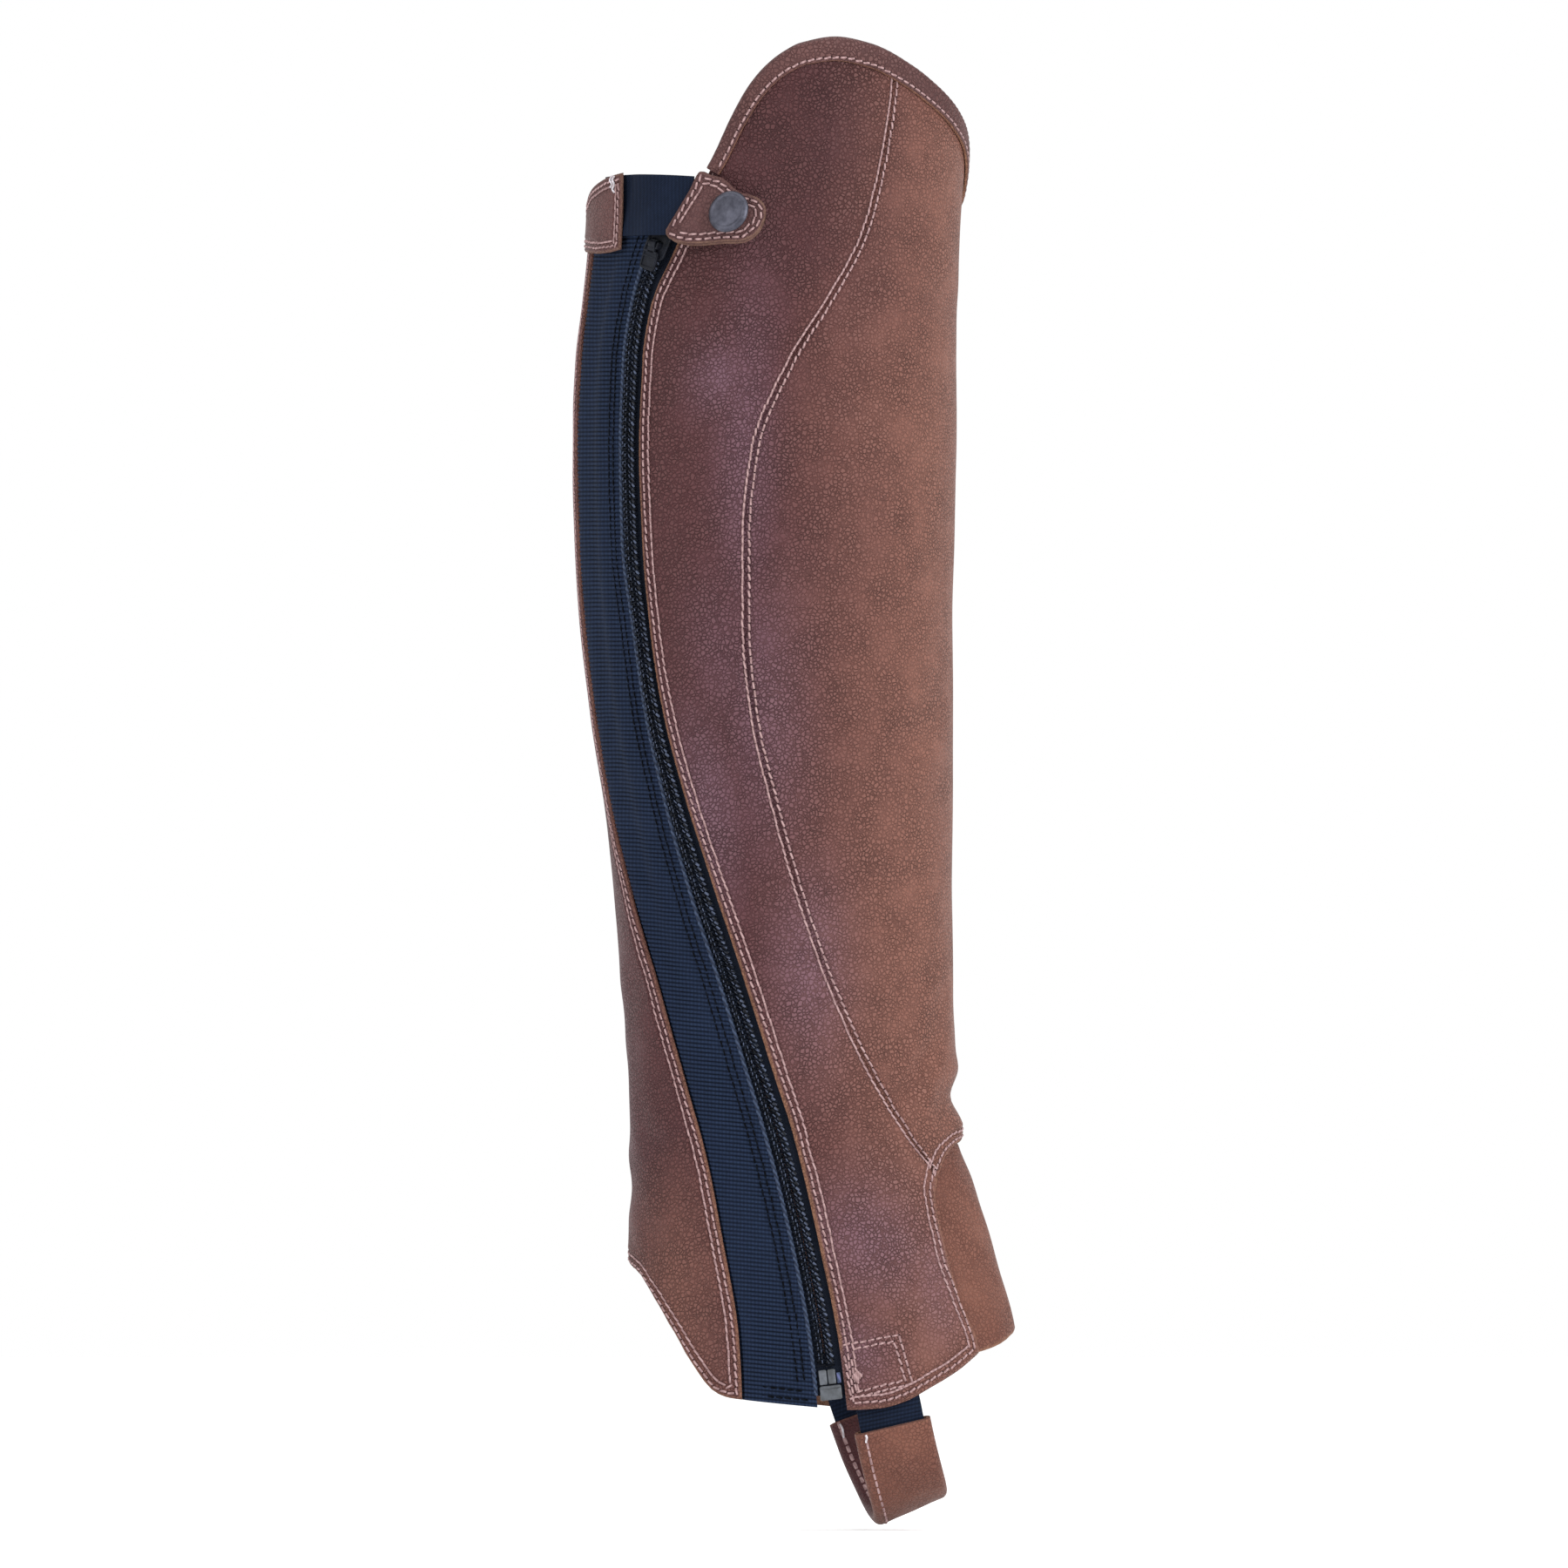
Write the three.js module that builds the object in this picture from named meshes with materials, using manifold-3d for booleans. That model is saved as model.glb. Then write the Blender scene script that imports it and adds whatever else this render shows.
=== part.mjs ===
// A leather half chap for the right leg: a gaiter that zips round the calf from the knee to the boot.
// Millimetres. +X is the front of the leg, -Y its outer side, +Z up. The origin is the middle of the
// calf at its widest height, where the wearer's leg holds the chap up.
import * as THREE from "three";
import { mergeVertices } from "three/addons/utils/BufferGeometryUtils.js";
import Module from "manifold-3d";

// ---------------------------------------------------------------- driving dimensions

const LEATHER = 1.6; // thickness of the panels
const THIN_LEATHER = 1.1; // thickness of binding, patch and tab layers
const ELASTIC = 1.2; // thickness of the gore and the snap band
const TAPE = 0.8; // thickness of the zip's woven tape
const GAP = 0.3; // clearance between pieces that are sewn together
const LAYER_GAP = 0.9; // clearance under the panels, whose facets don't match those of what they cover
const EGG = 0.08; // how much fuller the calf side of each section is than the shin side

const TAPE_HALF = 14; // width of one zip tape from the zip's middle
const TAPE_TOP = 86.5;
const TAPE_BOTTOM = -310;
const PARTING = { start: 70, half: 2.8 }; // where the tapes start to part, and by how much at the top
const COIL_HALF = 3.0; // width of one half of the coil
const COIL_HEIGHT = 2.0;
const COIL_TOP = 80; // height at which the coil ends under the slider
const ZIP_MIDDLE = 0.45; // the zip's middle, as a share of the way from elastic to leather
const GORE = { tuck: 9, top: 100, rows: 24 }; // tuck is how much elastic is hidden under the edge of the back
const GUSSET = { tuck: 8, thickness: 1.4, bulge: 0.7, rise: 7.5 }; // rise is how the hem lifts at the shin

const STRAP = { width: 22, thickness: 1.5 };
const SLEEVE = { width: 26.5, thickness: 4.9, wall: 1.2 };

// The chap's top and lower edges are looked for between these heights.
const TOP_SEARCH = [60, 152];
const LOWER_SEARCH = [-320, -250];

// The chap's measurements by height. back and front are the ends of the section on the X axis, depth is
// its half width on the Y axis. The other columns are edges on the outer side, each given by its X:
// the edge of the back over the elastic, the elastic's edge at the zip, the outer panel's edge at the
// zip, and the seam that runs from the knee round to the instep.
const CHART = table(
  ["height", "back", "front", "depth", "backEdge", "goreEdge", "zipEdge", "shinSeam"],
  [
    [-316, -46.5, 89.5, 41.5, -7.4, 18.4, 28.5, 75.0],
    [-290, -46.0, 87.2, 41.0, -8.8, 15.3, 25.1, 70.0],
    [-260, -45.7, 79.6, 40.5, -14.0, 9.7, 19.0, 63.0],
    [-237, -45.4, 72.3, 39.9, -18.4, 4.3, 13.8, 59.3],
    [-222, -45.4, 66.8, 39.5, -21.9, 0.3, 10.0, 49.0],
    [-200, -46.3, 64.8, 40.0, -28.3, -6.3, 2.8, 35.7],
    [-170, -48.4, 64.2, 42.0, -36.9, -15.6, -6.8, 22.2],
    [-140, -50.8, 63.7, 45.0, -46.0, -25.5, -16.8, 11.8],
    [-110, -54.4, 63.7, 48.5, -53.3, -33.9, -26.4, 3.4],
    [-80, -59.0, 64.0, 51.5, -58.2, -40.6, -34.4, -3.5],
    [-50, -62.2, 64.0, 54.0, -61.7, -45.1, -39.3, -6.3],
    [-20, -64.3, 64.5, 55.5, -63.8, -48.8, -41.8, -6.3],
    [10, -64.9, 65.2, 56.0, -64.4, -49.3, -42.8, -3.2],
    [40, -63.5, 65.5, 56.0, -63.0, -48.3, -41.8, 9.3],
    [60, -61.2, 65.8, 55.5, -60.8, -45.4, -38.5, 21.8],
    [80, -59.2, 66.5, 55.0, -58.7, -39.4, -29.5, 32.7],
    [95, -58.6, 67.2, 55.0, -58.0, -33.3, -22.7, 37.6],
    [110, -58.8, 68.2, 55.0, -58.0, -30.0, -17.5, 40.9],
    [130, -59.0, 68.6, 55.0, -58.0, -30.0, -14.0, 43.8],
    [150, -59.0, 69.0, 55.0, -58.0, -30.0, -10.0, 45.0],
  ],
);

// The raw top edge of the leather, by the angle round the leg: 0 is the back, 90 the outer side,
// 180 the shin and 270 the inner side. It rises to a peak beside the knee.
const TOP_EDGE = table(
  ["angle", "height"],
  [
    [60, 83.5],
    [65, 96.5],
    [68.2, 102.7],
    [71.6, 109.4],
    [77.1, 122.0],
    [82.3, 132.0],
    [87.4, 138.6],
    [92.4, 142.9],
    [97.4, 145.7],
    [107.7, 147.7],
    [118.8, 145.6],
    [134.7, 138.3],
    [146.2, 131.8],
    [160.6, 123.3],
    [173, 116.0],
    [182, 108.0],
    [192, 98.5],
    [206, 94.0],
    [230, 91.5],
    [270, 90.5],
    [310, 91.5],
    [346, 93.0],
    [360, 94.5],
    [373, 98.5],
    [396, 102.0],
  ],
);

// The lower edge by the angle away from the shin, alike on both sides: the front corner, the hem and
// the cut that clears the heel.
const LOWER_EDGE = table(
  ["angle", "height"],
  [
    [38.5, -295.6],
    [49.3, -302.4],
    [57.8, -307.1],
    [67.2, -312.1],
    [74.3, -314.2],
    [83.7, -314.8],
    [92, -314.0],
    [114, -311.5],
    [120, -310.6],
    [125, -308.4],
    [132, -300.3],
    [143, -285.9],
    [152, -276.0],
    [164, -268.3],
    [180, -265.2],
  ],
);

// Half the width of the instep opening, as an angle each side of the shin.
const INSTEP = table(
  ["height", "angle"],
  [
    [-296, 38.5],
    [-292, 38.6],
    [-285, 40.9],
    [-276, 43.4],
    [-264, 44.2],
    [-253, 43.9],
    [-243, 42.4],
    [-237, 38.7],
    [-233, 34.1],
    [-229, 28.0],
    [-225, 15.0],
    [-223.6, 0],
  ],
);
const SEAM_END = -237; // height at which the shin seam meets the instep opening
const HEM_CORNER = INSTEP.height[0];
const ARCH_TOP = INSTEP.height.at(-1);

// How wide the folded binding shows along the top edge.
const BINDING_WIDTH = table(
  ["angle", "width"],
  [
    [66, 5.2],
    [75, 5.5],
    [84, 6.4],
    [108, 8.3],
    [135, 8.0],
    [170, 7.6],
    [200, 7.0],
    [346, 6.6],
  ],
);
const BINDING = { start: 69.0, end: 345.2, stations: 44, fold: 1.6, cavity: 1.0, bevel: 0.6 };

// The snap tab: its lower and upper edge at each X. The straight left edge slants up from the corner.
const TAB = table(
  ["x", "bottom", "top"],
  [
    [-33.4, 82.3, 83.8],
    [-32.2, 80.8, 85.8],
    [-29.2, 79.7, 90.8],
    [-25.5, 79.1, 97.0],
    [-21.5, 79.1, 103.6],
    [-18.3, 79.4, 102.4],
    [-15.0, 79.7, 101.6],
    [-12.4, 79.9, 100.0],
    [-10.0, 79.9, 97.6],
    [-7.5, 80.1, 96.4],
    [-4.5, 81.2, 95.6],
    [-2.0, 83.2, 94.6],
    [0.0, 86.4, 92.6],
    [0.7, 88.6, 91.2],
  ],
);
const TAB_SEAT = { x: -22, height: 99, lift: 1.7, up: 0.22, across: 0.1 };
const TAB_BACK_GROWTH = 0.8; // how far the tab's back layer shows below its face
const BAND = { startAngle: 22, endX: -22.3, inTab: 14, bottom: 82.0, top: 102.0, bow: 0.8 };

// The patch at the top corner of the back, by the same angle as the top edge.
const PATCH = table(
  ["angle", "bottom", "top", "lift"],
  [
    [-14, 77.6, 93.2, 0.3],
    [-6, 77.0, 93.6, 0.3],
    [2, 76.8, 94.8, 0.3],
    [11, 76.5, 98.0, 0.3],
    [20, 76.1, 100.4, 0.3],
    [28, 76.4, 102.2, 0.4],
    [36, 77.4, 103.4, 1.1],
  ],
);

// The strap under the foot, from its seam inside the outer hem, round in a loop to its seam inside the
// inner hem. tilt is the angle that its width makes with the horizontal, and yaw turns it with the hem.
const STRAP_ROUTE = table(
  ["x", "y", "z", "tilt", "yaw"],
  [
    [37.4, -34.4, -294.5, 14, 9],
    [39.4, -34.4, -303, 14, 9],
    [41.8, -34.0, -312, 14, 8],
    [43.4, -32.8, -320, 14.5, 6],
    [45.2, -29.6, -328.5, 16, 4],
    [47.2, -24.2, -336.5, 18.5, 2],
    [49.0, -15.6, -343.4, 21.5, 0],
    [49.6, -5.5, -346.8, 23.5, 0],
    [48.6, 5.5, -346.8, 24, 0],
    [46.2, 15.8, -343.4, 24, 0],
    [42.8, 24.6, -336.5, 23, -1],
    [39.2, 30.6, -328.5, 22, -2],
    [36.0, 34.2, -320, 20, -4],
    [33.2, 36.0, -312, 18, -5],
    [30.4, 36.6, -303, 16, -5],
    [28.2, 36.6, -294.5, 15, -5],
  ],
);
const SLEEVE_SPAN = [0.2, 0.83]; // where the sleeve starts and ends, as a share of the strap's stations

// The snap. Its profiles are radius and height from the base of each piece, and tilt is in degrees.
const CAP = { x: -10.3, height: 89.7, radius: 7.4, thickness: 2.4, seat: 2.2, tilt: 27 };
const CAP_PROFILE = [
  [0, 0],
  [CAP.radius - 0.6, 0],
  [CAP.radius, 0.6],
  [CAP.radius - 0.25, 1.2],
  [CAP.radius - 1.6, CAP.thickness - 0.3],
  [0, CAP.thickness],
];
const STUD_PROFILE = [[0, 0], [5, 0], [5, 0.7], [2, 0.9], [1.9, 2.2], [0, 2.2]];
const SOCKET = { depth: 2.5, tilt: 8 };
const SOCKET_PROFILE = [[2.5, 0], [5.2, 0], [5.2, 1.3], [2.5, 1.3], [2.5, 0]];

// The two plates that end the coil's halves, and the box below them. offset is towards the front.
const PIN = { top: -300.8, width: 2.7, length: 5.2, height: 1.6 };
const BOX = { width: 7.4, length: 4.9, height: 2.4, offset: 0.6 };

const COLOURS = {
  leather: "#79554f",
  gussetLeather: "#825b50",
  elastic: "#282f42",
  tape: "#1a1f2b",
  coil: "#1e2430",
  black: "#1f222c",
  snap: "#5c5d68",
  zipMetal: "#8c919b",
};

// ---------------------------------------------------------------- tables and curves

// Rows of numbers under named columns. A table that is read by its first column has it in rising order.
function table(columns, rows) {
  const named = {};
  columns.forEach((name, i) => {
    named[name] = rows.map((row) => row[i]);
  });
  return { key: columns[0], ...named };
}

// A column's value at a place on the table's key column, on a smooth curve that doesn't overshoot.
function read(chart, column, at) {
  const keys = chart[chart.key];
  const values = chart[column];
  const last = keys.length - 1;
  let i = 0;
  while (i < last - 1 && at > keys[i + 1]) i += 1;
  const slope = (k) => {
    if (k <= 0) return (values[1] - values[0]) / (keys[1] - keys[0]);
    if (k >= last) return (values[last] - values[last - 1]) / (keys[last] - keys[last - 1]);
    const before = (values[k] - values[k - 1]) / (keys[k] - keys[k - 1]);
    const after = (values[k + 1] - values[k]) / (keys[k + 1] - keys[k]);
    return before * after <= 0 ? 0 : (2 * before * after) / (before + after);
  };
  const span = keys[i + 1] - keys[i];
  const t = (at - keys[i]) / span;
  if (t < 0) return values[0] + slope(0) * (at - keys[0]);
  if (t > 1) return values[last] + slope(last) * (at - keys[last]);
  return (
    values[i] * (1 + 2 * t) * (1 - t) ** 2 +
    values[i + 1] * (3 - 2 * t) * t ** 2 +
    slope(i) * span * t * (1 - t) ** 2 -
    slope(i + 1) * span * t ** 2 * (1 - t)
  );
}

function mix(a, b, share) {
  return a + (b - a) * share;
}

// 0 up to the first edge, 1 past the second, smooth between.
function ramp(at, from, to) {
  const t = Math.min(1, Math.max(0, (at - from) / (to - from)));
  return t * t * (3 - 2 * t);
}

// Where a falling function of one number crosses zero.
function crossing(low, high, f) {
  let [a, b] = [low, high];
  for (let i = 0; i < 40; i += 1) {
    const middle = (a + b) / 2;
    if (f(middle) > 0) a = middle;
    else b = middle;
  }
  return (a + b) / 2;
}

// ---------------------------------------------------------------- the filled-out form

const RADIANS = Math.PI / 180;

// A point of the leather's outer face, at an angle round the leg and a height.
function face(angle, height) {
  const back = read(CHART, "back", height);
  const front = read(CHART, "front", height);
  const depth = read(CHART, "depth", height);
  const cos = Math.cos(angle * RADIANS);
  const sin = Math.sin(angle * RADIANS);
  return new THREE.Vector3(
    (back + front) / 2 - ((front - back) / 2) * cos,
    -depth * sin * (1 + EGG * cos),
    height,
  );
}

// How the face runs at a point: round the leg, up it, and outwards, with the lengths of the first two.
function frameAt(angle, height) {
  const round = face(angle + 0.5, height).sub(face(angle - 0.5, height));
  const up = face(angle, height + 0.5).sub(face(angle, height - 0.5));
  const perDegree = round.length();
  const perHeight = up.length();
  round.normalize();
  up.normalize();
  const out = new THREE.Vector3().crossVectors(round, up).normalize();
  return { round, up, out, perDegree, perHeight };
}

// The face moved out by a lift, which is negative inside it.
function lifted(node, lift) {
  return face(node.angle, node.height).addScaledVector(
    frameAt(node.angle, node.height).out,
    lift,
  );
}

// A place on the face, some millimetres round the leg and up it from another.
function moved(node, across, up) {
  const frame = frameAt(node.angle, node.height);
  return {
    angle: node.angle + across / frame.perDegree,
    height: node.height + up / frame.perHeight,
  };
}

// The angle on the outer side where the face has a given X.
function angleAt(x, height) {
  const back = read(CHART, "back", height);
  const front = read(CHART, "front", height);
  const cos = ((back + front) / 2 - x) / ((front - back) / 2);
  return Math.acos(Math.min(1, Math.max(-1, cos))) / RADIANS;
}

function edgeAngle(column, height) {
  return angleAt(read(CHART, column, height), height);
}

function topHeight(angle) {
  return read(TOP_EDGE, "height", angle);
}

function lowerHeight(angle) {
  const turn = ((angle % 360) + 360) % 360;
  return read(LOWER_EDGE, "height", Math.abs(turn - 180));
}

// Half the angle of the instep opening, which is closed above its arch.
function instepAngle(height) {
  return read(INSTEP, "angle", Math.min(height, ARCH_TOP));
}

function zipAngle(height) {
  return mix(edgeAngle("goreEdge", height), edgeAngle("zipEdge", height), ZIP_MIDDLE);
}

// ---------------------------------------------------------------- solids

function solid(name, positions, triangles, material) {
  const geometry = new THREE.BufferGeometry();
  geometry.setAttribute("position", new THREE.Float32BufferAttribute(positions, 3));
  geometry.setIndex(triangles);
  geometry.computeVertexNormals();
  const mesh = new THREE.Mesh(geometry, material);
  mesh.name = name;
  return mesh;
}

// A closed wall over one or more grids of places on the face. Grids that share places are joined there.
// lift gives the wall's inner surface at a place, and the wall stands out from it by its thickness.
function wallOver(name, grids, lift, thickness, material) {
  const places = [];
  const known = new Map();
  const indexOf = (node) => {
    const key = `${node.angle.toFixed(3)} ${node.height.toFixed(3)}`;
    if (!known.has(key)) {
      known.set(key, places.length);
      places.push(node);
    }
    return known.get(key);
  };
  const quads = [];
  for (const grid of grids) {
    const ids = grid.map((column) => column.map(indexOf));
    for (let i = 0; i + 1 < ids.length; i += 1) {
      for (let j = 0; j + 1 < ids[i].length; j += 1) {
        quads.push([ids[i][j], ids[i + 1][j], ids[i + 1][j + 1], ids[i][j + 1]]);
      }
    }
  }
  const count = places.length;
  const outer = places.map((node) => lifted(node, lift(node) + thickness));
  const inner = places.map((node) => lifted(node, lift(node)));
  const triangles = [];
  const edges = new Set();
  for (const quad of quads) {
    const [p, q, r, s] = quad.map((id) => outer[id]);
    // The shorter diagonal keeps the facets close to the curved face.
    const [a, b, c, d] = p.distanceTo(r) <= q.distanceTo(s) ? quad : [...quad.slice(1), quad[0]];
    triangles.push(a, b, c, a, c, d);
    triangles.push(count + a, count + c, count + b, count + a, count + d, count + c);
    for (const edge of [[a, b], [b, c], [c, d], [d, a]]) edges.add(edge.join(" "));
  }
  for (const edge of edges) {
    const [a, b] = edge.split(" ").map(Number);
    if (edges.has(`${b} ${a}`)) continue;
    // The shorter diagonal again, so that two solids that meet here have the same facets.
    if (outer[b].distanceTo(inner[a]) <= outer[a].distanceTo(inner[b])) {
      triangles.push(b, a, count + a, b, count + a, count + b);
    } else {
      triangles.push(b, a, count + b, a, count + a, count + b);
    }
  }
  const positions = [...outer, ...inner].flatMap((p) => p.toArray());
  return solid(name, positions, triangles, material);
}

function grid(columns, rows, place) {
  return Array.from({ length: columns + 1 }, (_, i) =>
    Array.from({ length: rows + 1 }, (_, j) => place(i / columns, j / rows)),
  );
}

// A solid through rings of points, closed by flat ends. flat is the ring's outline in its own plane.
function loft(name, rings, flat, material) {
  const size = rings[0].length;
  const triangles = [];
  for (let i = 0; i + 1 < rings.length; i += 1) {
    for (let j = 0; j < size; j += 1) {
      const next = (j + 1) % size;
      const [a, b] = [i * size + j, i * size + next];
      const [c, d] = [b + size, a + size];
      triangles.push(a, b, c, a, c, d);
    }
  }
  const ends = THREE.ShapeUtils.triangulateShape(flat, []);
  const last = (rings.length - 1) * size;
  for (const [a, b, c] of ends) {
    triangles.push(a, c, b, last + a, last + b, last + c);
  }
  return solid(name, rings.flat().flatMap((p) => p.toArray()), triangles, material);
}

// A box, rod or turned piece placed on the face: its X lies across the piece, its Y along it and its Z
// out of it.
function onFace(node, along) {
  const frame = frameAt(node.angle, node.height);
  const out = frame.out;
  const direction = along.clone().addScaledVector(out, -along.dot(out)).normalize();
  const across = new THREE.Vector3().crossVectors(direction, out);
  const matrix = new THREE.Matrix4().makeBasis(across, direction, out);
  matrix.setPosition(face(node.angle, node.height));
  return matrix;
}

const wasm = await Module();
wasm.setup();

function toManifold(geometry) {
  const bare = geometry.clone();
  bare.deleteAttribute("normal");
  bare.deleteAttribute("uv");
  const merged = mergeVertices(bare, 1e-4);
  return new wasm.Manifold(
    new wasm.Mesh({
      numProp: 3,
      vertProperties: new Float32Array(merged.attributes.position.array),
      triVerts: new Uint32Array(merged.index.array),
    }),
  );
}

function fromManifold(name, made, material) {
  const mesh = made.getMesh();
  return solid(name, [...mesh.vertProperties], [...mesh.triVerts], material);
}

// Some of a grid's rows, for a piece that is given as several solids, one above another.
function rowsOf(whole, from, to) {
  return whole.map((column) => column.slice(from, to + 1));
}

function block(width, length, height, x, y, z) {
  return new THREE.BoxGeometry(width, length, height).translate(x, y, z);
}

function material(colour, roughness, metalness = 0) {
  return new THREE.MeshStandardMaterial({ color: colour, roughness, metalness });
}

const FINISH = {
  leather: material(COLOURS.leather, 0.6),
  gusset: material(COLOURS.gussetLeather, 0.5),
  elastic: material(COLOURS.elastic, 0.9),
  tape: material(COLOURS.tape, 0.9),
  coil: material(COLOURS.coil, 0.5),
  black: material(COLOURS.black, 0.45, 0.3),
  snap: material(COLOURS.snap, 0.4, 0.9),
  zipMetal: material(COLOURS.zipMetal, 0.45, 0.9),
};

// ---------------------------------------------------------------- leather panels

const PANEL_ROWS = 22; // rows of facets above the shin seam's lower end, alike on both sides of the seam
const SKIRT_ROWS = 5; // rows below it
const PANEL_LIFT = -LEATHER;
const UNDER_PANEL = -LEATHER - LAYER_GAP;

// The outer side's panel, from the zip to the shin seam and the instep opening. It is one piece of
// leather, given as four solids that meet edge to edge, so that its collision keeps to the wall.
function outerPanel() {
  const rightEdge = (height) => {
    if (height > SEAM_END) return edgeAngle("shinSeam", height);
    return 180 - instepAngle(height);
  };
  const columnAngle = (u, height) => {
    const right = moved({ angle: rightEdge(height), height }, -GAP / 2, 0).angle;
    return mix(edgeAngle("zipEdge", height), right, u);
  };
  const upper = (u, v) => {
    const top = crossing(...TOP_SEARCH, (h) => topHeight(columnAngle(u, h)) - h);
    const height = mix(SEAM_END, top, v);
    return { angle: columnAngle(u, height), height };
  };
  const lower = (u, v) => {
    const bottom = crossing(...LOWER_SEARCH, (h) => lowerHeight(columnAngle(u, h)) - h);
    const height = mix(bottom, SEAM_END, v);
    return { angle: columnAngle(u, height), height };
  };
  const above = grid(13, PANEL_ROWS, upper);
  const lengths = [
    ["outer_panel_skirt", grid(13, SKIRT_ROWS, lower)],
    ["outer_panel_ankle", rowsOf(above, 0, 6)],
    ["outer_panel_calf", rowsOf(above, 6, 13)],
    ["outer_panel_knee", rowsOf(above, 13, PANEL_ROWS)],
  ];
  return lengths.map(([name, part]) =>
    wallOver(name, [part], () => PANEL_LIFT, LEATHER, FINISH.leather),
  );
}

// The inner side's panel: one piece from the shin seam round the shin and the inner side to the edge
// that is sewn over the elastic. Below the seam's end it starts at the instep opening instead.
function innerPanel() {
  const leftEdge = (height) =>
    moved({ angle: edgeAngle("shinSeam", height), height }, GAP / 2, 0).angle;
  const rightEdge = (height) => 360 + edgeAngle("backEdge", height);
  const farInstep = (height) => 180 + instepAngle(height);
  const split =
    (farInstep(SEAM_END) - leftEdge(SEAM_END)) / (rightEdge(SEAM_END) - leftEdge(SEAM_END));
  const upperAngle = (u, height) => mix(leftEdge(height), rightEdge(height), u);
  const lowerAngle = (u, height) =>
    mix(farInstep(height), rightEdge(height), (u - split) / (1 - split));
  const topOf = (u) => crossing(...TOP_SEARCH, (h) => topHeight(upperAngle(u, h)) - h);

  const shin = (u, v) => {
    const column = u * split;
    const archAt = (h) => instepAngle(h) - Math.abs(upperAngle(column, h) - 180);
    const bottom = u === 0 || u === 1 ? SEAM_END : crossing(SEAM_END, ARCH_TOP, archAt);
    const height = mix(bottom, topOf(column), v);
    return { angle: upperAngle(column, height), height };
  };
  const side = (u, v) => {
    const column = mix(split, 1, u);
    const height = mix(SEAM_END, topOf(column), v);
    return { angle: upperAngle(column, height), height };
  };
  const skirt = (u, v) => {
    const column = mix(split, 1, u);
    const bottom = crossing(...LOWER_SEARCH, (h) => lowerHeight(lowerAngle(column, h)) - h);
    const height = mix(bottom, SEAM_END, v);
    return { angle: lowerAngle(column, height), height };
  };
  const grids = [
    grid(9, PANEL_ROWS, shin),
    grid(18, PANEL_ROWS, side),
    grid(18, SKIRT_ROWS, skirt),
  ];
  return wallOver("inner_panel", grids, () => PANEL_LIFT, LEATHER, FINISH.leather);
}

// The softer piece over the instep, sewn behind the edges of the opening and full between them.
function instepGusset() {
  const place = (u, v) => {
    const height = mix(HEM_CORNER, ARCH_TOP + GUSSET.tuck, v);
    const tuck = GUSSET.tuck / frameAt(180, height).perDegree;
    const across = mix(-1, 1, u);
    const angle = 180 + across * (instepAngle(height) + tuck);
    const rise = GUSSET.rise * (1 - ramp(Math.abs(across), 0, 0.9)) * (1 - v) ** 3;
    return { angle, height: height + rise };
  };
  const lift = ({ angle, height }) => {
    const inside = instepAngle(height) - Math.abs(angle - 180);
    return UNDER_PANEL - GUSSET.thickness - 0.1 + GUSSET.bulge * ramp(inside, 3, 16);
  };
  const grids = [grid(14, 10, place)];
  return wallOver("instep_gusset", grids, lift, GUSSET.thickness, FINISH.gusset);
}

// The strip folded over the top edge: one leaf outside, one inside.
function topBinding() {
  const rings = [];
  let flat;
  for (let i = 0; i <= BINDING.stations; i += 1) {
    const angle = mix(BINDING.start, BINDING.end, i / BINDING.stations);
    const node = { angle, height: topHeight(angle) };
    const before = face(angle - 0.3, topHeight(angle - 0.3));
    const after = face(angle + 0.3, topHeight(angle + 0.3));
    const run = after.sub(before).normalize();
    const frame = frameAt(angle, node.height);
    const away = new THREE.Vector3().crossVectors(frame.out, run).normalize();
    const depth = BINDING.fold - read(BINDING_WIDTH, "width", angle);
    const outside = GAP + THIN_LEATHER;
    const inside = UNDER_PANEL - THIN_LEATHER;
    const section = [
      [GAP, BINDING.cavity],
      [UNDER_PANEL, BINDING.cavity],
      [UNDER_PANEL, depth],
      [inside, depth],
      [inside, BINDING.fold - BINDING.bevel],
      [inside + BINDING.bevel, BINDING.fold],
      [outside - BINDING.bevel, BINDING.fold],
      [outside, BINDING.fold - BINDING.bevel],
      [outside, depth],
      [GAP, depth],
    ];
    flat = section.map(([out, up]) => new THREE.Vector2(up, out));
    rings.push(
      section.map(([out, up]) =>
        lifted(moved(node, up * away.dot(frame.round), up * away.dot(frame.up)), out),
      ),
    );
  }
  return loft("top_binding", rings, flat, FINISH.leather);
}

// ---------------------------------------------------------------- elastic gore and zip

const TAPE_OUT = UNDER_PANEL; // outer face of the zip's tape
const TAPE_LIFT = TAPE_OUT - TAPE;

// Elastic between the back and the zip. It lies under the back's edge and over the zip's tape.
function goreOuterLift(across) {
  return mix(UNDER_PANEL, TAPE_OUT + GAP + ELASTIC, ramp(across, -TAPE_HALF - 10, -TAPE_HALF - 2));
}

function millimetresFromZip(node) {
  return (node.angle - zipAngle(node.height)) * frameAt(node.angle, node.height).perDegree;
}

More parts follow.
